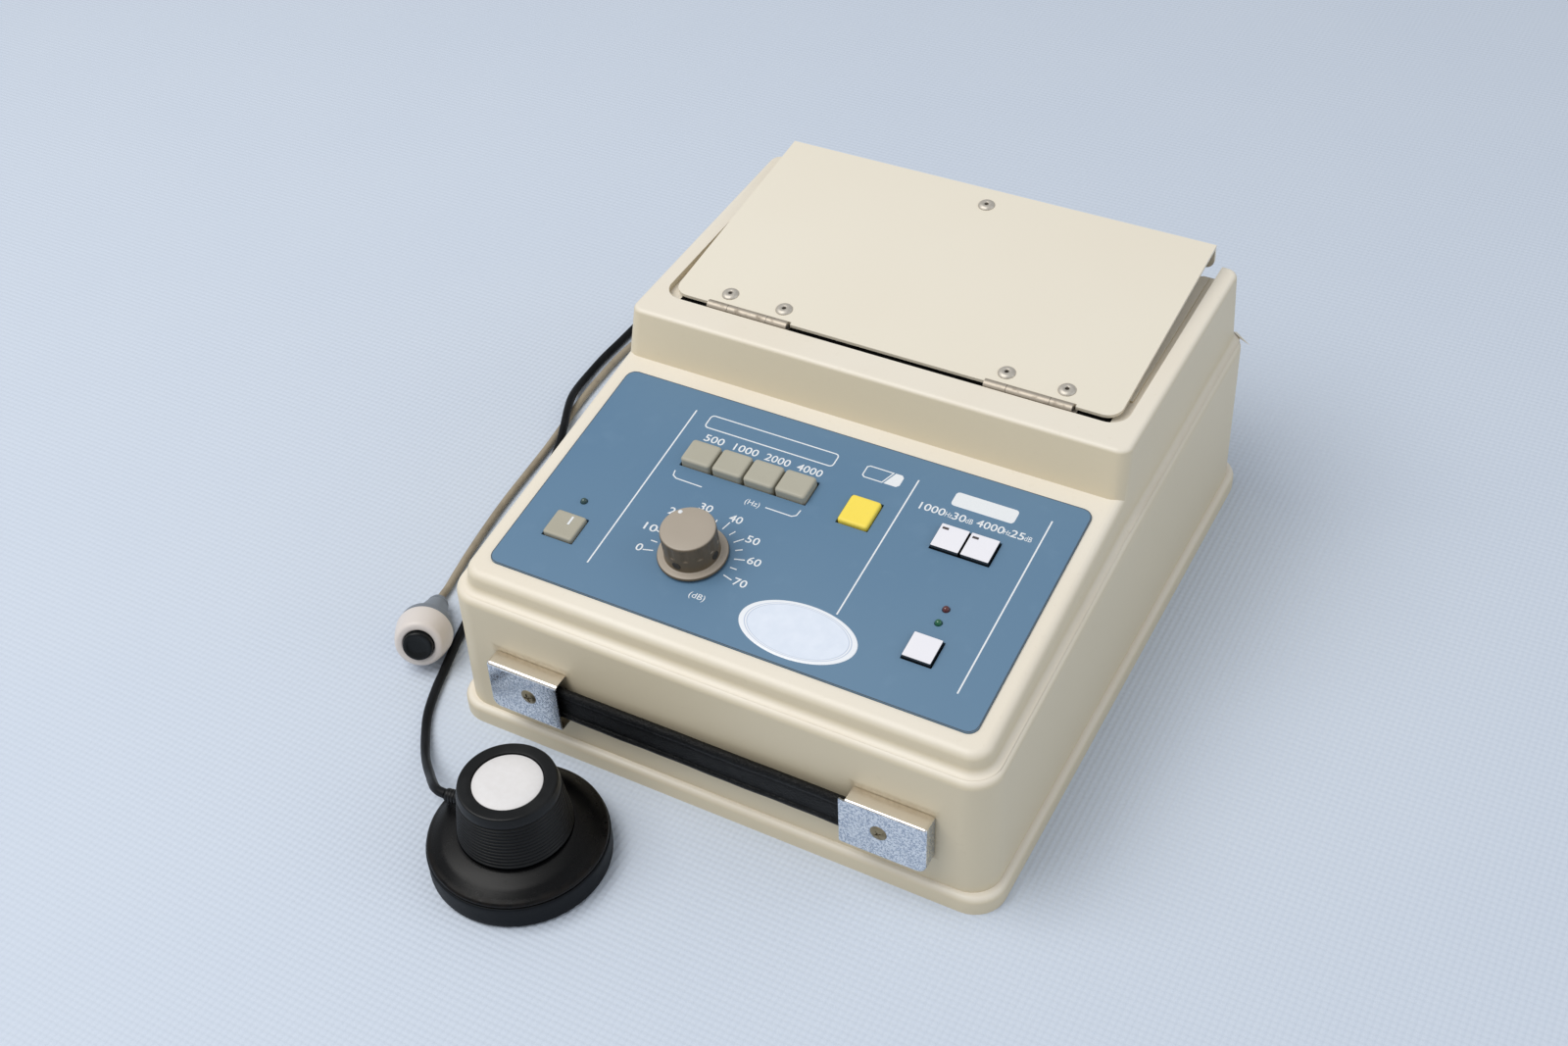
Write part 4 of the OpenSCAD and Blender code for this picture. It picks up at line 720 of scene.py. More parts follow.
def rounded(x0, x1, y0, y1, r):
    """Corner points of a rounded rectangle on the plate."""
    return [(cx + r * cos(radians(a + q * 90)), cy + r * sin(radians(a + q * 90)))
            for q, (cx, cy) in enumerate(((x1 - r, y1 - r), (x0 + r, y1 - r), (x0 + r, y0 + r),
                                          (x1 - r, y0 + r))) for a in (0, 30, 60, 90)]


def filled(points):
    return [(a, b, PRINT_HIGH) for a, b in points], [list(range(len(points)))]


def words(text, across, back, high=3.8, wide=0.0):
    """A printed number or unit, its middle at (across, back), squeezed to a width where one is given."""
    letters = bpy.data.curves.new("letters", "FONT")
    letters.body, letters.size, letters.offset = text, high / 0.7, 0.05 if high > 3 else 0.0
    letters.align_x, letters.align_y = "CENTER", "CENTER"
    letters.resolution_u = 3
    holder = link(bpy.data.objects.new("letters", letters))
    mesh = bpy.data.meshes.new_from_object(holder.evaluated_get(
        bpy.context.evaluated_depsgraph_get()))
    bpy.data.objects.remove(holder)
    bpy.data.curves.remove(letters)
    xs = [v.co.x for v in mesh.vertices]
    ys = [v.co.y for v in mesh.vertices]
    mid = Vector(((min(xs) + max(xs)) / 2, (min(ys) + max(ys)) / 2, 0))
    points = []
    squeeze = wide / (max(xs) - min(xs)) if wide else 1
    for v in mesh.vertices:
        p = v.co - mid
        points.append((p.x * squeeze + across, p.y + back, PRINT_HIGH))
    faces = [list(f.vertices) for f in mesh.polygons]
    bpy.data.meshes.remove(mesh)
    return points, faces


def printed(name, marks, finish, where, body):
    """Joins marks into one thin mesh lying on a surface."""
    points, faces = [], []
    for some, shapes in marks:
        faces += [[len(points) + i for i in shape] for shape in shapes]
        points += some
    return piece(name, mesh_of(name, points, faces, where, False), finish, body)


print("print helpers are ready")

# %% Scale, frames and numbers
white_ink = two_tone("white_ink", paint(238, 240, 242), paint(222, 226, 230), 2500, Roughness=0.5)
KNOB_AT = (-31.5, 35.9)
marks = [strip([(-71, 15), (-71, 109)]), strip([(37.7, 31.2), (37.7, 108.7)]),
         strip([(98, 15), (98, 109)]), strip(rounded(-63, 0, 101.6, 108.9, 1.6), 0.6, True)]
for level in range(0, 75, 5):
    a = radians(195 - 3 * level)
    far = 22.1 if level % 10 == 0 else 20.6
    marks.append(strip([(KNOB_AT[0] + r * cos(a), KNOB_AT[1] + r * sin(a)) for r in (17.5, far)], 0.55))
for text, across, back in (("0", -54.8, 30.8), ("10", -55.7, 42.1), ("20", -50.2, 53.5), ("30", -39.1, 60.6),
                           ("40", -24.2, 59.8), ("50", -12, 52.3), ("60", -6.1, 42.4), ("70", -6.2, 30.3)):
    marks.append(words(text, across, back, wide=3.1 * len(text) - 0.1))
for text, across, wide in (("500", -54.8, 9.6), ("1000", -38.9, 11.8), ("2000", -23.4, 12.0),
                           ("4000", -7.9, 12.0)):
    marks.append(words(text, across, 96.2, 3.9, wide))
marks += [strip([(-62.2, 74.2), (-61.6, 71.4), (-59.5, 70.3), (-46.7, 70.1)], 0.55),
          strip([(-15.8, 70.3), (-3.2, 70.2), (-1.5, 71.4), (-1.1, 74.6)], 0.55),
          words("(Hz)", -22.0, 70.0, 2.7, 6.9), words("(dB)", -19.2, 16.9, 2.8, 7.3),
          words("1000", 49.7, 96.4, 3.8, 11.5), words("Hz", 57.3, 96.0, 2.7, 3.0),
          words("30", 61.9, 96.4, 3.8, 5.9), words("dB", 66.6, 96.0, 2.7, 3.2),
          words("4000", 75.8, 96.7, 3.8, 12.2), words("Hz", 83.4, 96.4, 2.7, 3.0),
          words("25", 87.9, 96.8, 3.8, 6.0), words("dB", 92.7, 96.4, 2.7, 3.2),
          filled(rounded(55.4, 83.8, 101.4, 109, 1.6)),
          strip([(23.6, 101.7), (15.2, 101.7), (14.1, 102.6), (14.1, 107.4), (15.2, 108.2),
                 (26.2, 108.2)], 0.55, True),
          filled([(24.4, 101.5), (30.2, 101.5), (31.4, 102.7), (31.4, 107.2), (30.2, 108.4),
                  (27.2, 108.4)])]
plate_print = printed("plate_print", marks, white_ink, on_deck, "case")
# A dark line along the plate's rim is painted shade of the gap round the sheet.
cut_edge = two_tone("cut_edge", paint(52, 62, 72), paint(84, 92, 98), 400, Roughness=0.6)
printed("plate_cut_edge", [strip(rounded(-111.85, 111.85, 0.15, 120.05, 4.35), 0.35, True)], cut_edge,
        on_deck, "case")
print("marks on the plate:", len(marks))

# %% Painted shade in the lid's front gap
# The gap before the lid is black; thin dark strips on the pocket's floor are painted shade that stands for
# it.
# Painted shade: a near-black matt finish for the gap.
gap_shade = two_tone("black_tape", paint(12, 12, 12), paint(26, 25, 23), 300, Roughness=0.9,
                Specular_IOR_Level=0.1)
printed("lid_gap_tape", [strip([(left, 18.8), (right, 18.8)], 6.8) for left, right in
                         ((-104, -89), (-48, 48), (89, 104))], gap_shade, on_top @ spot(0, 0, -3.4), "case")
print("dark strips laid")

# %% [markdown]
# ## Oval label
# A glossy oval sticker lies over the lower end of the middle line. Its own lettering is a maker's, so it is
# left bare: a white rim, a fine double ring and a soft pale blue field, printed on a slightly crowned film.

# %% Oval label
OVAL_AT, OVAL_X, OVAL_Y = (27.2, 17.2), 26.0, 13.8
film = Finish("oval", Roughness=0.22, Coat_Weight=0.3)
x, y, z = film.axes()
span = film.node("ShaderNodeMath", {"operation": "SQRT"},
                 {0: (x / (OVAL_X * MM)) ** 2 + (y / (OVAL_Y * MM)) ** 2})
field = film.ramp(span, 0.86, 0.84)
ring = (film.ramp(span, 0.885, 0.895) * film.ramp(span, 0.915, 0.905)
        + film.ramp(span, 0.845, 0.855) * film.ramp(span, 0.872, 0.862))
tone = film.blend(paint(238, 241, 246), paint(222, 230, 243), field)
cloud = film.ramp(film.noise(160, 2), 0.3, 0.75)
film.set(Base_Color=film.blend(film.blend(tone, paint(228, 235, 247), cloud * field),
                               paint(150, 172, 205), ring * 0.55))
film.bump(film.noise(300, 2), 0.00003, 0.3)
crown = [(0.0, 0.24), (0.5, 0.235), (0.9, 0.22), (0.98, 0.2), (0.995, 0.14), (1.0, 0.02)]
film_mesh = spin("oval_film", crown[::-1])
for v in film_mesh.vertices:
    v.co = Vector((v.co.x * OVAL_X, v.co.y * OVAL_Y, v.co.z))
oval = piece("oval_film", film_mesh, None, "case", "oval_label")
oval.parent = None
oval.matrix_world = on_deck @ spot(*OVAL_AT, 0)
oval = piece("", oval, film, "case")
print("oval label:", [round(d * 1000, 1) for d in oval.dimensions])

# %% [markdown]
# ## Lamps
# Three small lamps stand a little out of drilled holes: power, and the two of the reply display. They are
# dark tinted domes when off, so each is a round lens with a small clear coat.

# %% Lamps
def lens(name, colour, deep, x, s, node):
    glassy = two_tone(name, deep, colour, 1500, Roughness=0.16, Coat_Weight=0.5)
    glassy.bump(glassy.noise(900, 1), 0.00003, 0.3)
    shape = [(1.5, -4), (1.5, 0.2)] + bend_of((0, 0.2), 1.5, 0, 80, 6) + [(0, 1.7)]
    spun(node + "_lens", shape, on_deck @ spot(x, s, 0), 32, glassy, "case", slot=name)
    fitted(glassy, node)


lens("lamp_dark", paint(66, 96, 92), paint(34, 52, 54), -90, 43.5, "power_lamp")
lens("lamp_red", paint(112, 48, 46), paint(62, 26, 28), 77, 50.4, "red_lamp")
lens("lamp_green", paint(38, 116, 74), paint(22, 70, 46), 77, 43.1, "green_lamp")
print("three lamps")

# %% [markdown]
# ## Keys
# Grey and yellow keys are matt mouldings with well rounded edges. The three white ones look two-part, so
# their faces are white and their sides near black.
# One material does both, split by height above the plate.

# %% Key finishes
key_grey = moulded("key_grey", paint(176, 172, 156), paint(166, 160, 142), 0.5)
key_yellow = moulded("key_yellow", paint(250, 224, 86), paint(246, 216, 76), 0.5)


def two_part(name):
    """White face and smoked sides; a key's dark window is printed apart."""
    made = Finish(name, Roughness=0.2, Coat_Weight=0.4)
    facing = made.ramp(made.axes(made.node("ShaderNodeNewGeometry", out="True Normal"))[2], 0.9, 0.96)
    x, y, z = made.axes()
    # height above the sloping plate, in metres
    high = (z - DECK_HIGH * MM) * cos(DECK_TILT) - (y - PLATE_FRONT * MM) * sin(DECK_TILT)
    face = facing * made.ramp(high, 0.00172, 0.00182)
    tone = made.blend(paint(243, 241, 246), paint(236, 235, 242), made.noise(60, 2))
    made.set(Base_Color=made.blend(paint(26, 29, 33), tone, face), Roughness=0.16 + face * 0.14)
    made.bump(made.noise(500, 2), 0.00001, 0.3)
    return made


key_white = two_part("key_white")


def keycap(node, finish, x, s, w, l, high, edge, dish):
    """A key at (x, s) on the plate: outlines stacked from its stem's foot up to a slightly hollow face."""
    def outline(inset, h):
        points = rounded(x - w / 2 + inset, x + w / 2 - inset, s - l / 2 + inset, s + l / 2 - inset,
                         max(0.3, edge + 0.2 - inset * 0.6))
        return [(a, b, h) for a, b in points]

    stem = rounded(x - 2.5, x + 2.5, s - 2.5, s + 2.5, 2.49)
    rows = [[(a, b, h) for a, b in stem] for h in (-14, -5.9)]
    rows += [outline(0.3, -6), outline(0, -5.7)]
    rows += [outline(edge - edge * cos(radians(q)), high - edge + edge * sin(radians(q)))
             for q in (0, 20, 40, 60, 78)]
    rows += [outline(edge + 0.6, high), outline(edge + 2, high - dish * 0.6), outline(5, high - dish)]
    n = len(stem)
    faces = [[k * n + i, k * n + (i + 1) % n, (k + 1) * n + (i + 1) % n, (k + 1) * n + i]
             for k in range(len(rows) - 1) for i in range(n)]
    faces += [list(range(n))[::-1], [(len(rows) - 1) * n + i for i in range(n)]]
    made = piece(node + "_cap", mesh_of(node + "_cap", sum(rows, []), faces, on_deck), finish,
                 frame["nodes"][node]["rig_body"], node)
    made.modifiers.new("broad_faces", "WEIGHTED_NORMAL").weight = 80
    return made


keycap("power_key", key_grey, -90, 28, 14.4, 13.6, 1.9, 1.0, 0.12)
for k, node in enumerate(("key_500_hz", "key_1000_hz", "key_2000_hz", "key_4000_hz")):
    keycap(node, key_grey, -31.4 + (k - 1.5) * 15.4, 84.5, 14.4, 12.8, 4, 1.3, 0.15)
keycap("changeover_key", key_yellow, 22.6, 82.6, 14, 15.2, 1.9, 1.2, 0.12)
for node, x, s in (("tone_key_1000_hz", 63.7, 83.4), ("tone_key_4000_hz", 77.1, 83.4),
                   ("interrupter_key", 77, 28.4)):
    keycap(node, key_white, x, s, 12.6, 12.6, 1.9, 0.2, 0.03)
print("nine keys dressed")

# %% Marks on the keys
printed("power_key_mark", [strip([(-88.6, 28.4), (-88.6, 33.6)], 1.0)], white_ink,
        on_deck @ spot(0, 0, 1.87), "power_key_body")
window = two_tone("window_dark", paint(98, 90, 90), paint(52, 46, 48), 1500, Roughness=0.25)
for k, (x, body) in enumerate(((63.7, "tone_key_1000_hz_body"), (77.1, "tone_key_4000_hz_body"))):
    slot_marks = [filled([(x - 5.2, 86.9), (x - 2.4, 86.9), (x - 2.4, 88.1), (x - 5.2, 88.1)])]
    printed("key_window_%d" % k, slot_marks, window, on_deck @ spot(0, 0, 1.885), body)
print("key marks at the back edges")

# %% [markdown]
# ## Level knob
# The knob is a warm grey moulding: a drum with twelve shallow finger flutes pressed into the upper half of
# its side, two holes low on that side for the screws that grip the spindle, and a round skirt. It is spun
# from one profile; a function of the angle presses the flutes in. A small raised dot shows its setting.

# %% Level knob
# The knob's dark side tone is painted shade on its drum.
knob_grey = moulded("knob", paint(171, 160, 146), paint(163, 151, 135), 0.4, 0.00003, paint(98, 84, 64))


FLUTE_OUT, FLUTE_R, FLUTE_FROM, FLUTE_TURN = 14.6, 3.2, 20, 30  # bar's distance and radius, then degrees


def flutes(a, r, h):
    """Twelve finger hollows in the drum's upper side, each as a round bar would press it."""
    if r < 11.7:
        return 0
    off = (degrees(a) - FLUTE_FROM + FLUTE_TURN / 2) % FLUTE_TURN - FLUTE_TURN / 2
    across = FLUTE_OUT * sin(radians(off))
    bite = 0
    if abs(across) < FLUTE_R:
        bite = max(0.0, r - FLUTE_OUT * cos(radians(off)) + math.sqrt(FLUTE_R ** 2 - across ** 2))
    fade = min(1, max(0, (h - 8.9) / 0.7)) * min(1, max(0, (15.9 - h) / 0.7))
    return -bite * fade


drum = ([(0, 0.9), (14.6, 0.9)] + bend_of((14.7, 1.5), 0.55, -90, 0, 4)
        + bend_of((14.55, 1.9), 0.5, 20, 80, 3) + [(13.2, 2.5), (12.6, 2.6)]
        + bend_of((12.5, 3.2), 0.6, -90, -180, 3)
        + [(11.9, h) for h in (5, 7, 8.5, 8.9, 9.1, 9.3, 9.6, 10.5, 12, 13.5, 14.6, 15.2, 15.5, 15.7, 15.9)]
        + [(11.86, 16.2), (11.7, 16.6), (11.4, 16.88), (11.0, 17.0), (5, 17.0), (0, 17.0)])
knob_where = on_deck @ spot(*KNOB_AT, 0)
knob = spun("level_knob_moulded", drum, knob_where, 192, knob_grey, "knob", "level_knob", slot="knob",
            wave=flutes)
DOT_TURN, DOT_OUT, DOT_HIGH = radians(137), 9.9, 16.98
spun("knob_dot", [(1.0, 0), (0.95, 0.12), (0, 0.14)],
     knob_where @ spot(DOT_OUT * cos(DOT_TURN), DOT_OUT * sin(DOT_TURN), DOT_HIGH), 24, white_ink, "knob")
# Painted shade: the knob's shallow cups are dark for the depth of a screw hole.
hollow_shade = two_tone("screw_hole", paint(30, 28, 24), paint(52, 47, 40), 900, Roughness=0.5)
for k, turn in enumerate((-92, -3)):
    where = knob_where @ Matrix.Rotation(radians(turn), 4, "Z") @ spot(11.9, 0, 5.9, pi / 2, "Y")
    cup = [(1.95, -0.12), (1.95, 0.14), (1.7, 0.2), (1.45, 0.1), (1.3, 0.04), (0.9, 0.06), (0, 0.02)]
    spun("grip_screw_%d" % k, cup, where, 24, hollow_shade, "knob")
print("knob:", [round(d * 1000, 1) for d in knob.dimensions])

# %% [markdown]
# ## Carrying handle
# A black leatherette strap runs between two caps folded from chromed sheet, each held by a tarnished
# cross-headed screw. The caps are built as a folded skin and thickened, because a folded sheet shows a soft
# outer bend. The strap has a raised bead along both edges and a grained face.

# %% Caps
CAP_OUT, CAP_TOP, CAP_HIGH, CAP_WIDE, HANDLE_X, HANDLE_Z = 8.0, 47.8, 25.6, 35.0, 82.5, 36.2
chrome = Finish("chrome", Metallic=1.0, Roughness=0.12)
swirl = chrome.noise(620, 2, 0.6)
worm = 1 - chrome.ramp((swirl - 0.5).sum("ABSOLUTE", swirl - 0.5), 0.02, 0.07)
x, y, z = chrome.axes(chrome.node("ShaderNodeNewGeometry", out="Normal"))
front = chrome.ramp(z, 0.5, 0.2)
# The base tint by facing is painted reflection: warm on upward faces, and on the others the pale blue table
# with mottled darker blue worms.
chrome.set(Base_Color=chrome.blend(paint(238, 232, 224), chrome.blend(
    paint(232, 236, 241), paint(138, 154, 178), worm * 0.75), front), Roughness=0.15 + worm * 0.15 * front)
chrome.bump(worm, 0.00003, 0.3)


def cap(name, side, reach):
    """One folded cap in the front wall's plane. side is -1 on the left; reach lengthens its face."""
    inner, outer = HANDLE_X - 14.8, HANDLE_X - 14.8 + CAP_WIDE
    low, high = CAP_TOP - 2 - CAP_HIGH, CAP_TOP - 2
    corner = [(outer - 4 + 4 * cos(radians(a)), low + 4 - 4 * sin(radians(a))) for a in range(0, 91, 15)]
    edge = [(inner, high), (outer, high)] + corner + [(inner, low)]
    points = [(side * x, -0.4, z) for x, z in edge] + [(side * x, -CAP_OUT, z) for x, z in edge]
    n = len(edge)
    faces = [[i, i + 1, n + i + 1, n + i] for i in range(n - 1)]
    face = list(range(n, 2 * n))
    if reach:
        points += [(side * (inner - reach), -CAP_OUT, low + 0.6), (side * (inner - reach), -CAP_OUT, high)]
        face += [2 * n, 2 * n + 1]
    faces.append(face)
    if side > 0:
        faces = [f[::-1] for f in faces]
    made = piece(name, mesh_of(name, points, faces, on_front), chrome, "case", "handle_caps")
    soft(made, 1.3, 30, 5, False)
    skin = made.modifiers.new("sheet", "SOLIDIFY")
    skin.thickness, skin.offset = 0.9 * MM, 0
    made.modifiers.new("broad_faces", "WEIGHTED_NORMAL").weight = 60
    return made


caps = [cap("handle_cap_left", -1, 0), cap("handle_cap_right", 1, 2.8)]
print("caps:", [round(d * 1000, 1) for d in caps[0].dimensions])

# %% Strap
hide = Finish("strap", Roughness=0.42, Specular_IOR_Level=0.2)
grain = hide.cells(1500)
crease = hide.noise(900, 4, 0.6)
rub = hide.ramp(hide.noise(120, 4, 0.6), 0.5, 0.75)
hide.set(Base_Color=hide.blend(paint(7, 8, 9), paint(30, 30, 30), rub * 0.5 + crease * 0.1),
         Roughness=0.26 + crease * 0.3)
hide.bump(grain + crease, 0.0003, 0.9)
half = [(0, 0), (2.6, 0), (3.6, 0.25), (4.3, 1.0), (4.6, 2.0), (4.55, 2.9), (4.2, 3.5), (3.75, 3.9),
        (3.7, 4.4), (3.95, 5.2), (4.0, 6.5), (4.0, 8.5)]
STRAP_BACK, STRAP_LOW, STRAP_WIDE = 1.9, 27.3, 17.0
section = half + [(d, STRAP_WIDE - h) for d, h in reversed(half[:-1])]
points, faces, rings = [], [], 61
for k in range(rings):
    x = -96 + 192 * k / (rings - 1)
    sway = 0.12 * sin(x * 0.11) + 0.08 * sin(x * 0.31 + 1)
    for depth, high in section:
        points.append((x, -STRAP_BACK - max(0, depth + sway * depth / 4.6), STRAP_LOW + high))
n = len(section)
for k in range(rings - 1):
    for i in range(n):
        j = (i + 1) % n
        faces.append([k * n + i, k * n + j, (k + 1) * n + j, (k + 1) * n + i])
faces += [list(range(n))[::-1], [(rings - 1) * n + i for i in range(n)]]
strap = piece("strap_grained", mesh_of("strap_grained", points, faces, on_front @ spot(0, 0, -2)),
              hide, "case", "handle_strap")
strap.modifiers.new("round", "SUBSURF").levels = 1
strap.modifiers["round"].render_levels = 1
print("strap:", [round(d * 1000, 1) for d in strap.dimensions])

# %% Handle screws
brass = brushed("tarnished_screw", paint(150, 138, 112), paint(86, 76, 58), 0.38, 0.9, 1500, 0.00004)


def crossed(name, where, head, high, finish, body, turn=20):
    """A domed screw head with a pressed cross, as a disc whose height is a function of place."""
    points, faces, rows, sides = [(0, 0, high * 0.2)], [], 16, 96
    for k in range(1, rows + 1):
        r = head / 2 * k / rows
        for i in range(sides):
            a = 2 * pi * i / sides
            x, y = r * cos(a), r * sin(a)
            turned = Vector((x, y)).to_3d()
            turned.rotate(Matrix.Rotation(-radians(turn), 3, "Z"))
            arm = min(abs(turned.x), abs(turned.y)) < 0.42 and r < head * 0.3
            dome = high * (1 - (r / (head / 2)) ** 2.4) + 0.05
            points.append((x, y, dome * 0.2 if arm else dome))
    for i in range(sides):
        j = (i + 1) % sides
        faces.append([0, 1 + i, 1 + j])
        for k in range(rows - 1):
            a, b = 1 + k * sides, 1 + (k + 1) * sides
            faces.append([a + i, b + i, b + j, a + j])
    return piece(name, mesh_of(name, points, faces, where), finish, body)


for k, side in enumerate((-1, 1)):
    head = crossed("handle_screw_%d" % k, on_front @ spot(side * HANDLE_X, -CAP_OUT, HANDLE_Z - 2, pi / 2),
                   8.2, 1.25, brass, "case", 20 + 25 * k)
    # Dark strips over each cross are painted shade in its pressed recess.
    printed("handle_screw_cross_%d" % k, [strip([(-2.3, 0), (2.3, 0)], 0.75), strip([(0, -2.3), (0, 2.3)],
            0.75)], hollow_shade, on_front @ spot(side * HANDLE_X, -CAP_OUT - 0.3, HANDLE_Z - 2, pi / 2)
            @ Matrix.Rotation(radians(20 + 25 * k), 4, "Z"), "case")
fitted(brass, "handle_screws")
print("handle screws 8.2 mm across")

# %% [markdown]
# ## Ear receiver
# The receiver rests on its soft ear cushion. Above it a hard glossy disc flares in to a ribbed neck with a
# cap, and a round paper label sits in the cap's recess, left bare. Fine rings run round the disc, as if it
# was turned, and stretch each highlight across them.

# %% Receiver finishes
turned = Finish("gloss_black", Roughness=0.2, Specular_IOR_Level=0.22, Anisotropic=0.9)
x, y, z = turned.axes()
x, y = x - RECEIVER[0] * MM, y - RECEIVER[1] * MM
radius = turned.node("ShaderNodeMath", {"operation": "SQRT"}, {0: x * x + y * y})
rings = turned.noise(5200, 2, 0.5, turned.point(radius, 0, 0))
scuff = turned.ramp(turned.noise(160, 4, 0.6), 0.55, 0.8)
rim = turned.ramp(radius, 0.0345, 0.0368) * turned.ramp(turned.noise(240, 4), 0.35, 0.6)
turned.set(Base_Color=turned.blend(turned.blend(paint(4, 4, 5), paint(18, 17, 17), scuff * 0.4),
                                   paint(60, 48, 38), rim * 0.1),
           Roughness=0.26 + scuff * 0.1 + rim * 0.15)
turned.bump(rings, 0.00004, 0.55)
cushion_skin = rubber("cushion", paint(9, 13, 18), paint(20, 24, 29), 0.5, 1600)
label_paper = two_tone("label_white", paint(231, 229, 230), paint(221, 218, 217), 420, 4, Roughness=0.5)
label_paper.bump(label_paper.noise(1200, 3), 0.00002, 0.4)
print("receiver finishes are ready")

# %% Receiver neck, cap and label
EAR_R, EAR_HIGH, FLARE_Z, NECK_R, NECK_TOP, CAP_Z, TALL = 38.2, 13.7, 20.0, 24.0, 21.3, 41.1, 46.1


def neck_at(z):
    return NECK_R - (NECK_R - NECK_TOP) * (z - FLARE_Z) / (CAP_Z - FLARE_Z)


ribs, rib = [], (CAP_Z - FLARE_Z) / 12
for k in range(12):
    z = FLARE_Z + k * rib
    r = neck_at(z)
    ribs += [(r - 0.22, z + rib * 0.03), (r, z + rib * 0.16), (r - 0.02, z + rib * 0.5),
             (r - 0.25, z + rib * 0.62), (r - 0.68, z + rib * 0.72), (r - 0.7, z + rib * 0.88)]
neck = [(NECK_R - 4, FLARE_Z - 1), (NECK_R - 1.7, FLARE_Z - 0.6)] + ribs + [
    (NECK_TOP - 0.7, CAP_Z), (NECK_TOP - 4, CAP_Z)]
neck = spun("receiver_neck", neck, on_receiver, 128, black_mould, "case", "receiver_body",
            slot="black_plastic")
top = [(14.9, TALL - 1.05), (14.9, TALL - 0.35)] + bend_of((15.25, TALL - 0.35), 0.35, 180, 90, 3) + [
    (17, TALL), (19.2, TALL)] + bend_of((19.5, TALL - 1.0), 1.0, 85, 10, 5) + [
    (20.9, CAP_Z + 2.4), (21.3, CAP_Z + 0.9), (21.2, CAP_Z + 0.3), (20.8, CAP_Z), (18, CAP_Z)]
spun("receiver_top", [(0, TALL - 1.05)] + top, on_receiver, 128, black_mould, "case", "receiver_cap",
     slot="black_plastic")
paper = [(14.5, TALL - 1.0), (14.5, TALL - 0.72), (14.35, TALL - 0.6), (7, TALL - 0.56), (0, TALL - 0.55)]
spun("receiver_paper", paper, on_receiver, 96, label_paper, "case", "receiver_label", slot="label_white")
print("receiver neck:", len(neck.data.polygons), "faces")

# %% Disc, cushion and strain relief
flare = [(NECK_R - 4.6, EAR_HIGH - 1.2), (NECK_R - 4.6, FLARE_Z - 2.8), (NECK_R - 1.4, FLARE_Z - 0.9),
         (NECK_R - 0.9, FLARE_Z - 0.35), (NECK_R + 0.4, FLARE_Z - 0.3), (NECK_R + 1.6, FLARE_Z - 0.5),
         (NECK_R + 3.5, FLARE_Z - 1.05), (NECK_R + 6, FLARE_Z - 1.85), (NECK_R + 8.6, FLARE_Z - 3.0),
         (EAR_R - 3.4, EAR_HIGH + 1.6), (EAR_R - 1.7, EAR_HIGH + 0.72), (EAR_R - 1.0, EAR_HIGH + 0.3),
         (EAR_R - 0.65, EAR_HIGH - 0.2), (EAR_R - 0.6, EAR_HIGH - 1.5), (EAR_R - 4, EAR_HIGH - 1.6)]
flare = spun("receiver_flare", flare, on_receiver, 160, turned, "case", "receiver_disc",
             slot="gloss_black")
pad = ([(13, EAR_HIGH - 1.8), (EAR_R - 3, EAR_HIGH - 1.75), (EAR_R - 0.75, EAR_HIGH - 1.6)]
       + bend_of((EAR_R - 1.1, EAR_HIGH - 2.6), 1.1, 70, 0, 4)
       + [(EAR_R, 9.6), (EAR_R - 0.06, 7), (EAR_R, 4.2)] + bend_of((EAR_R - 2.2, 2.2), 2.2, 0, -80, 6)
       + [(EAR_R - 4.5, 0), (EAR_R - 8, 0.0), (EAR_R - 11, 0.35), (23, 1.6), (18.5, 3.1), (15.5, 3.9),
          (13.6, 4.3), (13, 4.9), (13, EAR_HIGH - 1.8)])
pad = spun("ear_cushion_soft", pad[::-1], on_receiver, 128, cushion_skin, "case", "receiver_ear_cushion",
           slot="cushion")
collar = ([(2.45, -4.5), (2.45, 0.2), (3.4, 0.2), (3.75, 0.5), (3.7, 1.1), (2.95, 1.5)]
          + [(r, h) for k in range(4) for r, h in ((2.95 - k * 0.05, 1.9 + k * 1.5),
                                                   (3.2 - k * 0.1, 2.2 + k * 1.5),
                                                   (3.15 - k * 0.1, 2.9 + k * 1.5),
                                                   (2.75 - k * 0.05, 3.2 + k * 1.5))]
          + [(2.65, 7.9), (2.15, 8.0)])
relief_where = (on_receiver @ spot(0, 0, 24) @ Matrix.Rotation(RELIEF_TURN, 4, "Z")
                @ Matrix.Rotation(pi / 2, 4, "Y") @ spot(0, 0, RELIEF_AT))
spun("strain_sleeve", collar, relief_where, 32, black_mould, "case", "receiver_strain_relief",
     slot="black_plastic")
fitted(brushed("driver_metal", paint(150, 150, 150), paint(112, 110, 106), 0.4), "receiver_driver")
print("receiver:", [round(d * 1000, 1) for d in flare.dimensions])

# %% [markdown]
# ## Push switch
# The person under test presses this when a tone is heard. A thick ring of slightly yellowed white plastic
# holds a black button; behind it a grey collar narrows to the lead.

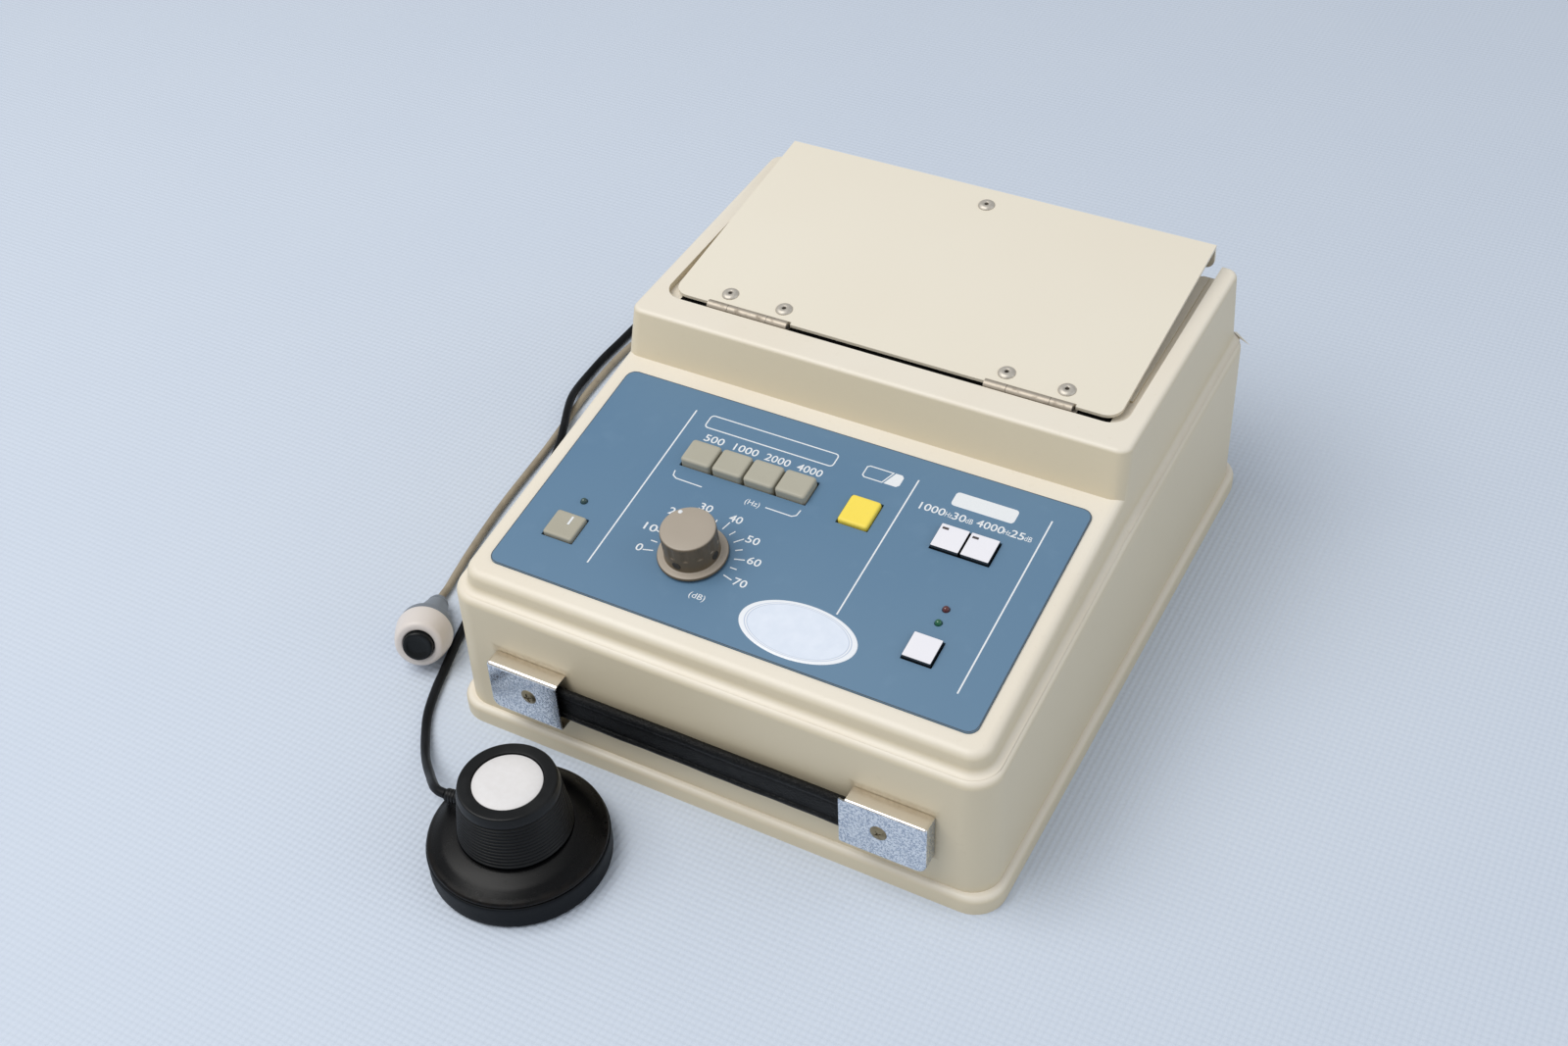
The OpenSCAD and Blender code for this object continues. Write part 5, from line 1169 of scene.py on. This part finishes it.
# %% Push switch
ring_white = moulded("switch_white", paint(224, 216, 211), paint(212, 200, 190), 0.42, 0.00002)
grip_grey = moulded("switch_grey", paint(122, 129, 138), paint(110, 116, 124), 0.46, 0.00003)
button_black = two_tone("button", paint(9, 12, 14), paint(18, 22, 24), 300, 3, Roughness=0.25,
                        Specular_IOR_Level=0.25)
button_black.bump(button_black.noise(400, 2), 0.00003, 0.3)
HEAD_BACK, HEAD_LONG, BUTTON_R, BUTTON_OUT = 13.2, 13.3, 7.0, 2.2
ring = ([(9.5, -HEAD_LONG), (HEAD_BACK - 0.9, -HEAD_LONG)] + bend_of((HEAD_BACK - 1.1, -12.2), 1.1, -80, 5, 4)
        + [(12.9, -9.5), (12.45, -6.5), (11.85, -3.6)] + bend_of((9.25, -2.1), 2.1, 10, 90, 6)
        + [(8.7, 0.0)] + bend_of((8.1, -0.9), 0.9, 90, 170, 4) + [(7.12, -2.5), (7.12, -6)])
ring = spun("switch_ring", ring, on_switch, 96, ring_white, "case", "response_head", slot="switch_white")
grip = ([(9.3, -HEAD_LONG + 0.1), (12.5, -HEAD_LONG + 0.05), (12.7, -HEAD_LONG - 0.4), (12.7, -15.5)]
        + bend_of((11.9, -16.6), 0.8, 0, -80, 3)
        + [(10.9, -18.1), (10.2, -18.9), (9.4, -20.6), (8.5, -24), (7.4, -29), (6.2, -34), (5.4, -37),
           (5.0, -38), (5.15, -38.6), (5.1, -39.6), (4.6, -40.2), (4.65, -41), (4.4, -41.8), (1.8, -42)])
spun("switch_grip", grip[::-1], on_switch, 64, grip_grey, "case", "response_grip", slot="switch_grey")
push = ([(8.4, -5.55), (8.4, -4.45), (BUTTON_R - 0.05, -4.4), (BUTTON_R - 0.05, BUTTON_OUT - 1.2)]
        + bend_of((BUTTON_R - 0.95, BUTTON_OUT - 0.9), 0.9, 0, 90, 5)
        + [(5.2, BUTTON_OUT), (4.8, BUTTON_OUT - 0.25), (2.4, BUTTON_OUT - 0.38), (0, BUTTON_OUT - 0.42)])
spun("switch_button", push, on_switch, 64, button_black, "response_push", "response_button",
     slot="button")
print("switch ring:", [round(d * 1000, 1) for d in ring.dimensions])

# %% [markdown]
# ## Back jacks and the inside
# The rest is seen only from behind or with the lid up, or not at all, and the photograph hides it. The CAD
# solids keep their shapes there and get likely finishes: plated bushes, green boards with printed tracks,
# dark switch bodies and six cells in a black holder.

# %% Jacks, boards and cells
dressed("back_jacks", steel, 0.25, 40, 2)
board = Finish("circuit", Roughness=0.35)
tracks = board.ramp(board.node("ShaderNodeTexBrick", {"offset": 0.5}, {
    "Vector": board.place(), "Scale": 160, "Mortar Size": 0.03}, 1), 0.4, 0.6)
board.set(Base_Color=board.blend(paint(48, 104, 66), paint(78, 134, 84), tracks * 0.6
                                 + board.noise(80, 2) * 0.2))
board.bump(tracks, 0.00004, 0.5)
part_black = moulded("part_black", paint(40, 41, 43), paint(54, 54, 54), 0.45)
cell_wrap = Finish("cell", Roughness=0.3)
x, y, z = cell_wrap.axes()
band = cell_wrap.ramp(cell_wrap.node("ShaderNodeMath", {"operation": "PINGPONG"}, {0: x, 1: 0.026}),
                      0.019, 0.0195)
cell_wrap.set(Base_Color=cell_wrap.blend(paint(58, 92, 136), paint(190, 190, 186), band),
              Roughness=0.28 + cell_wrap.noise(200, 2) * 0.1)
fitted(board, "control_board", "main_board")
fitted(part_black, "key_switches", "rotary_switch", "battery_holder", "response_microswitch")
fitted(cell_wrap, "battery_cells")
fitted(inner_steel, "rotary_switch_nut", "rotary_switch_spindle")
print("inside dressed")
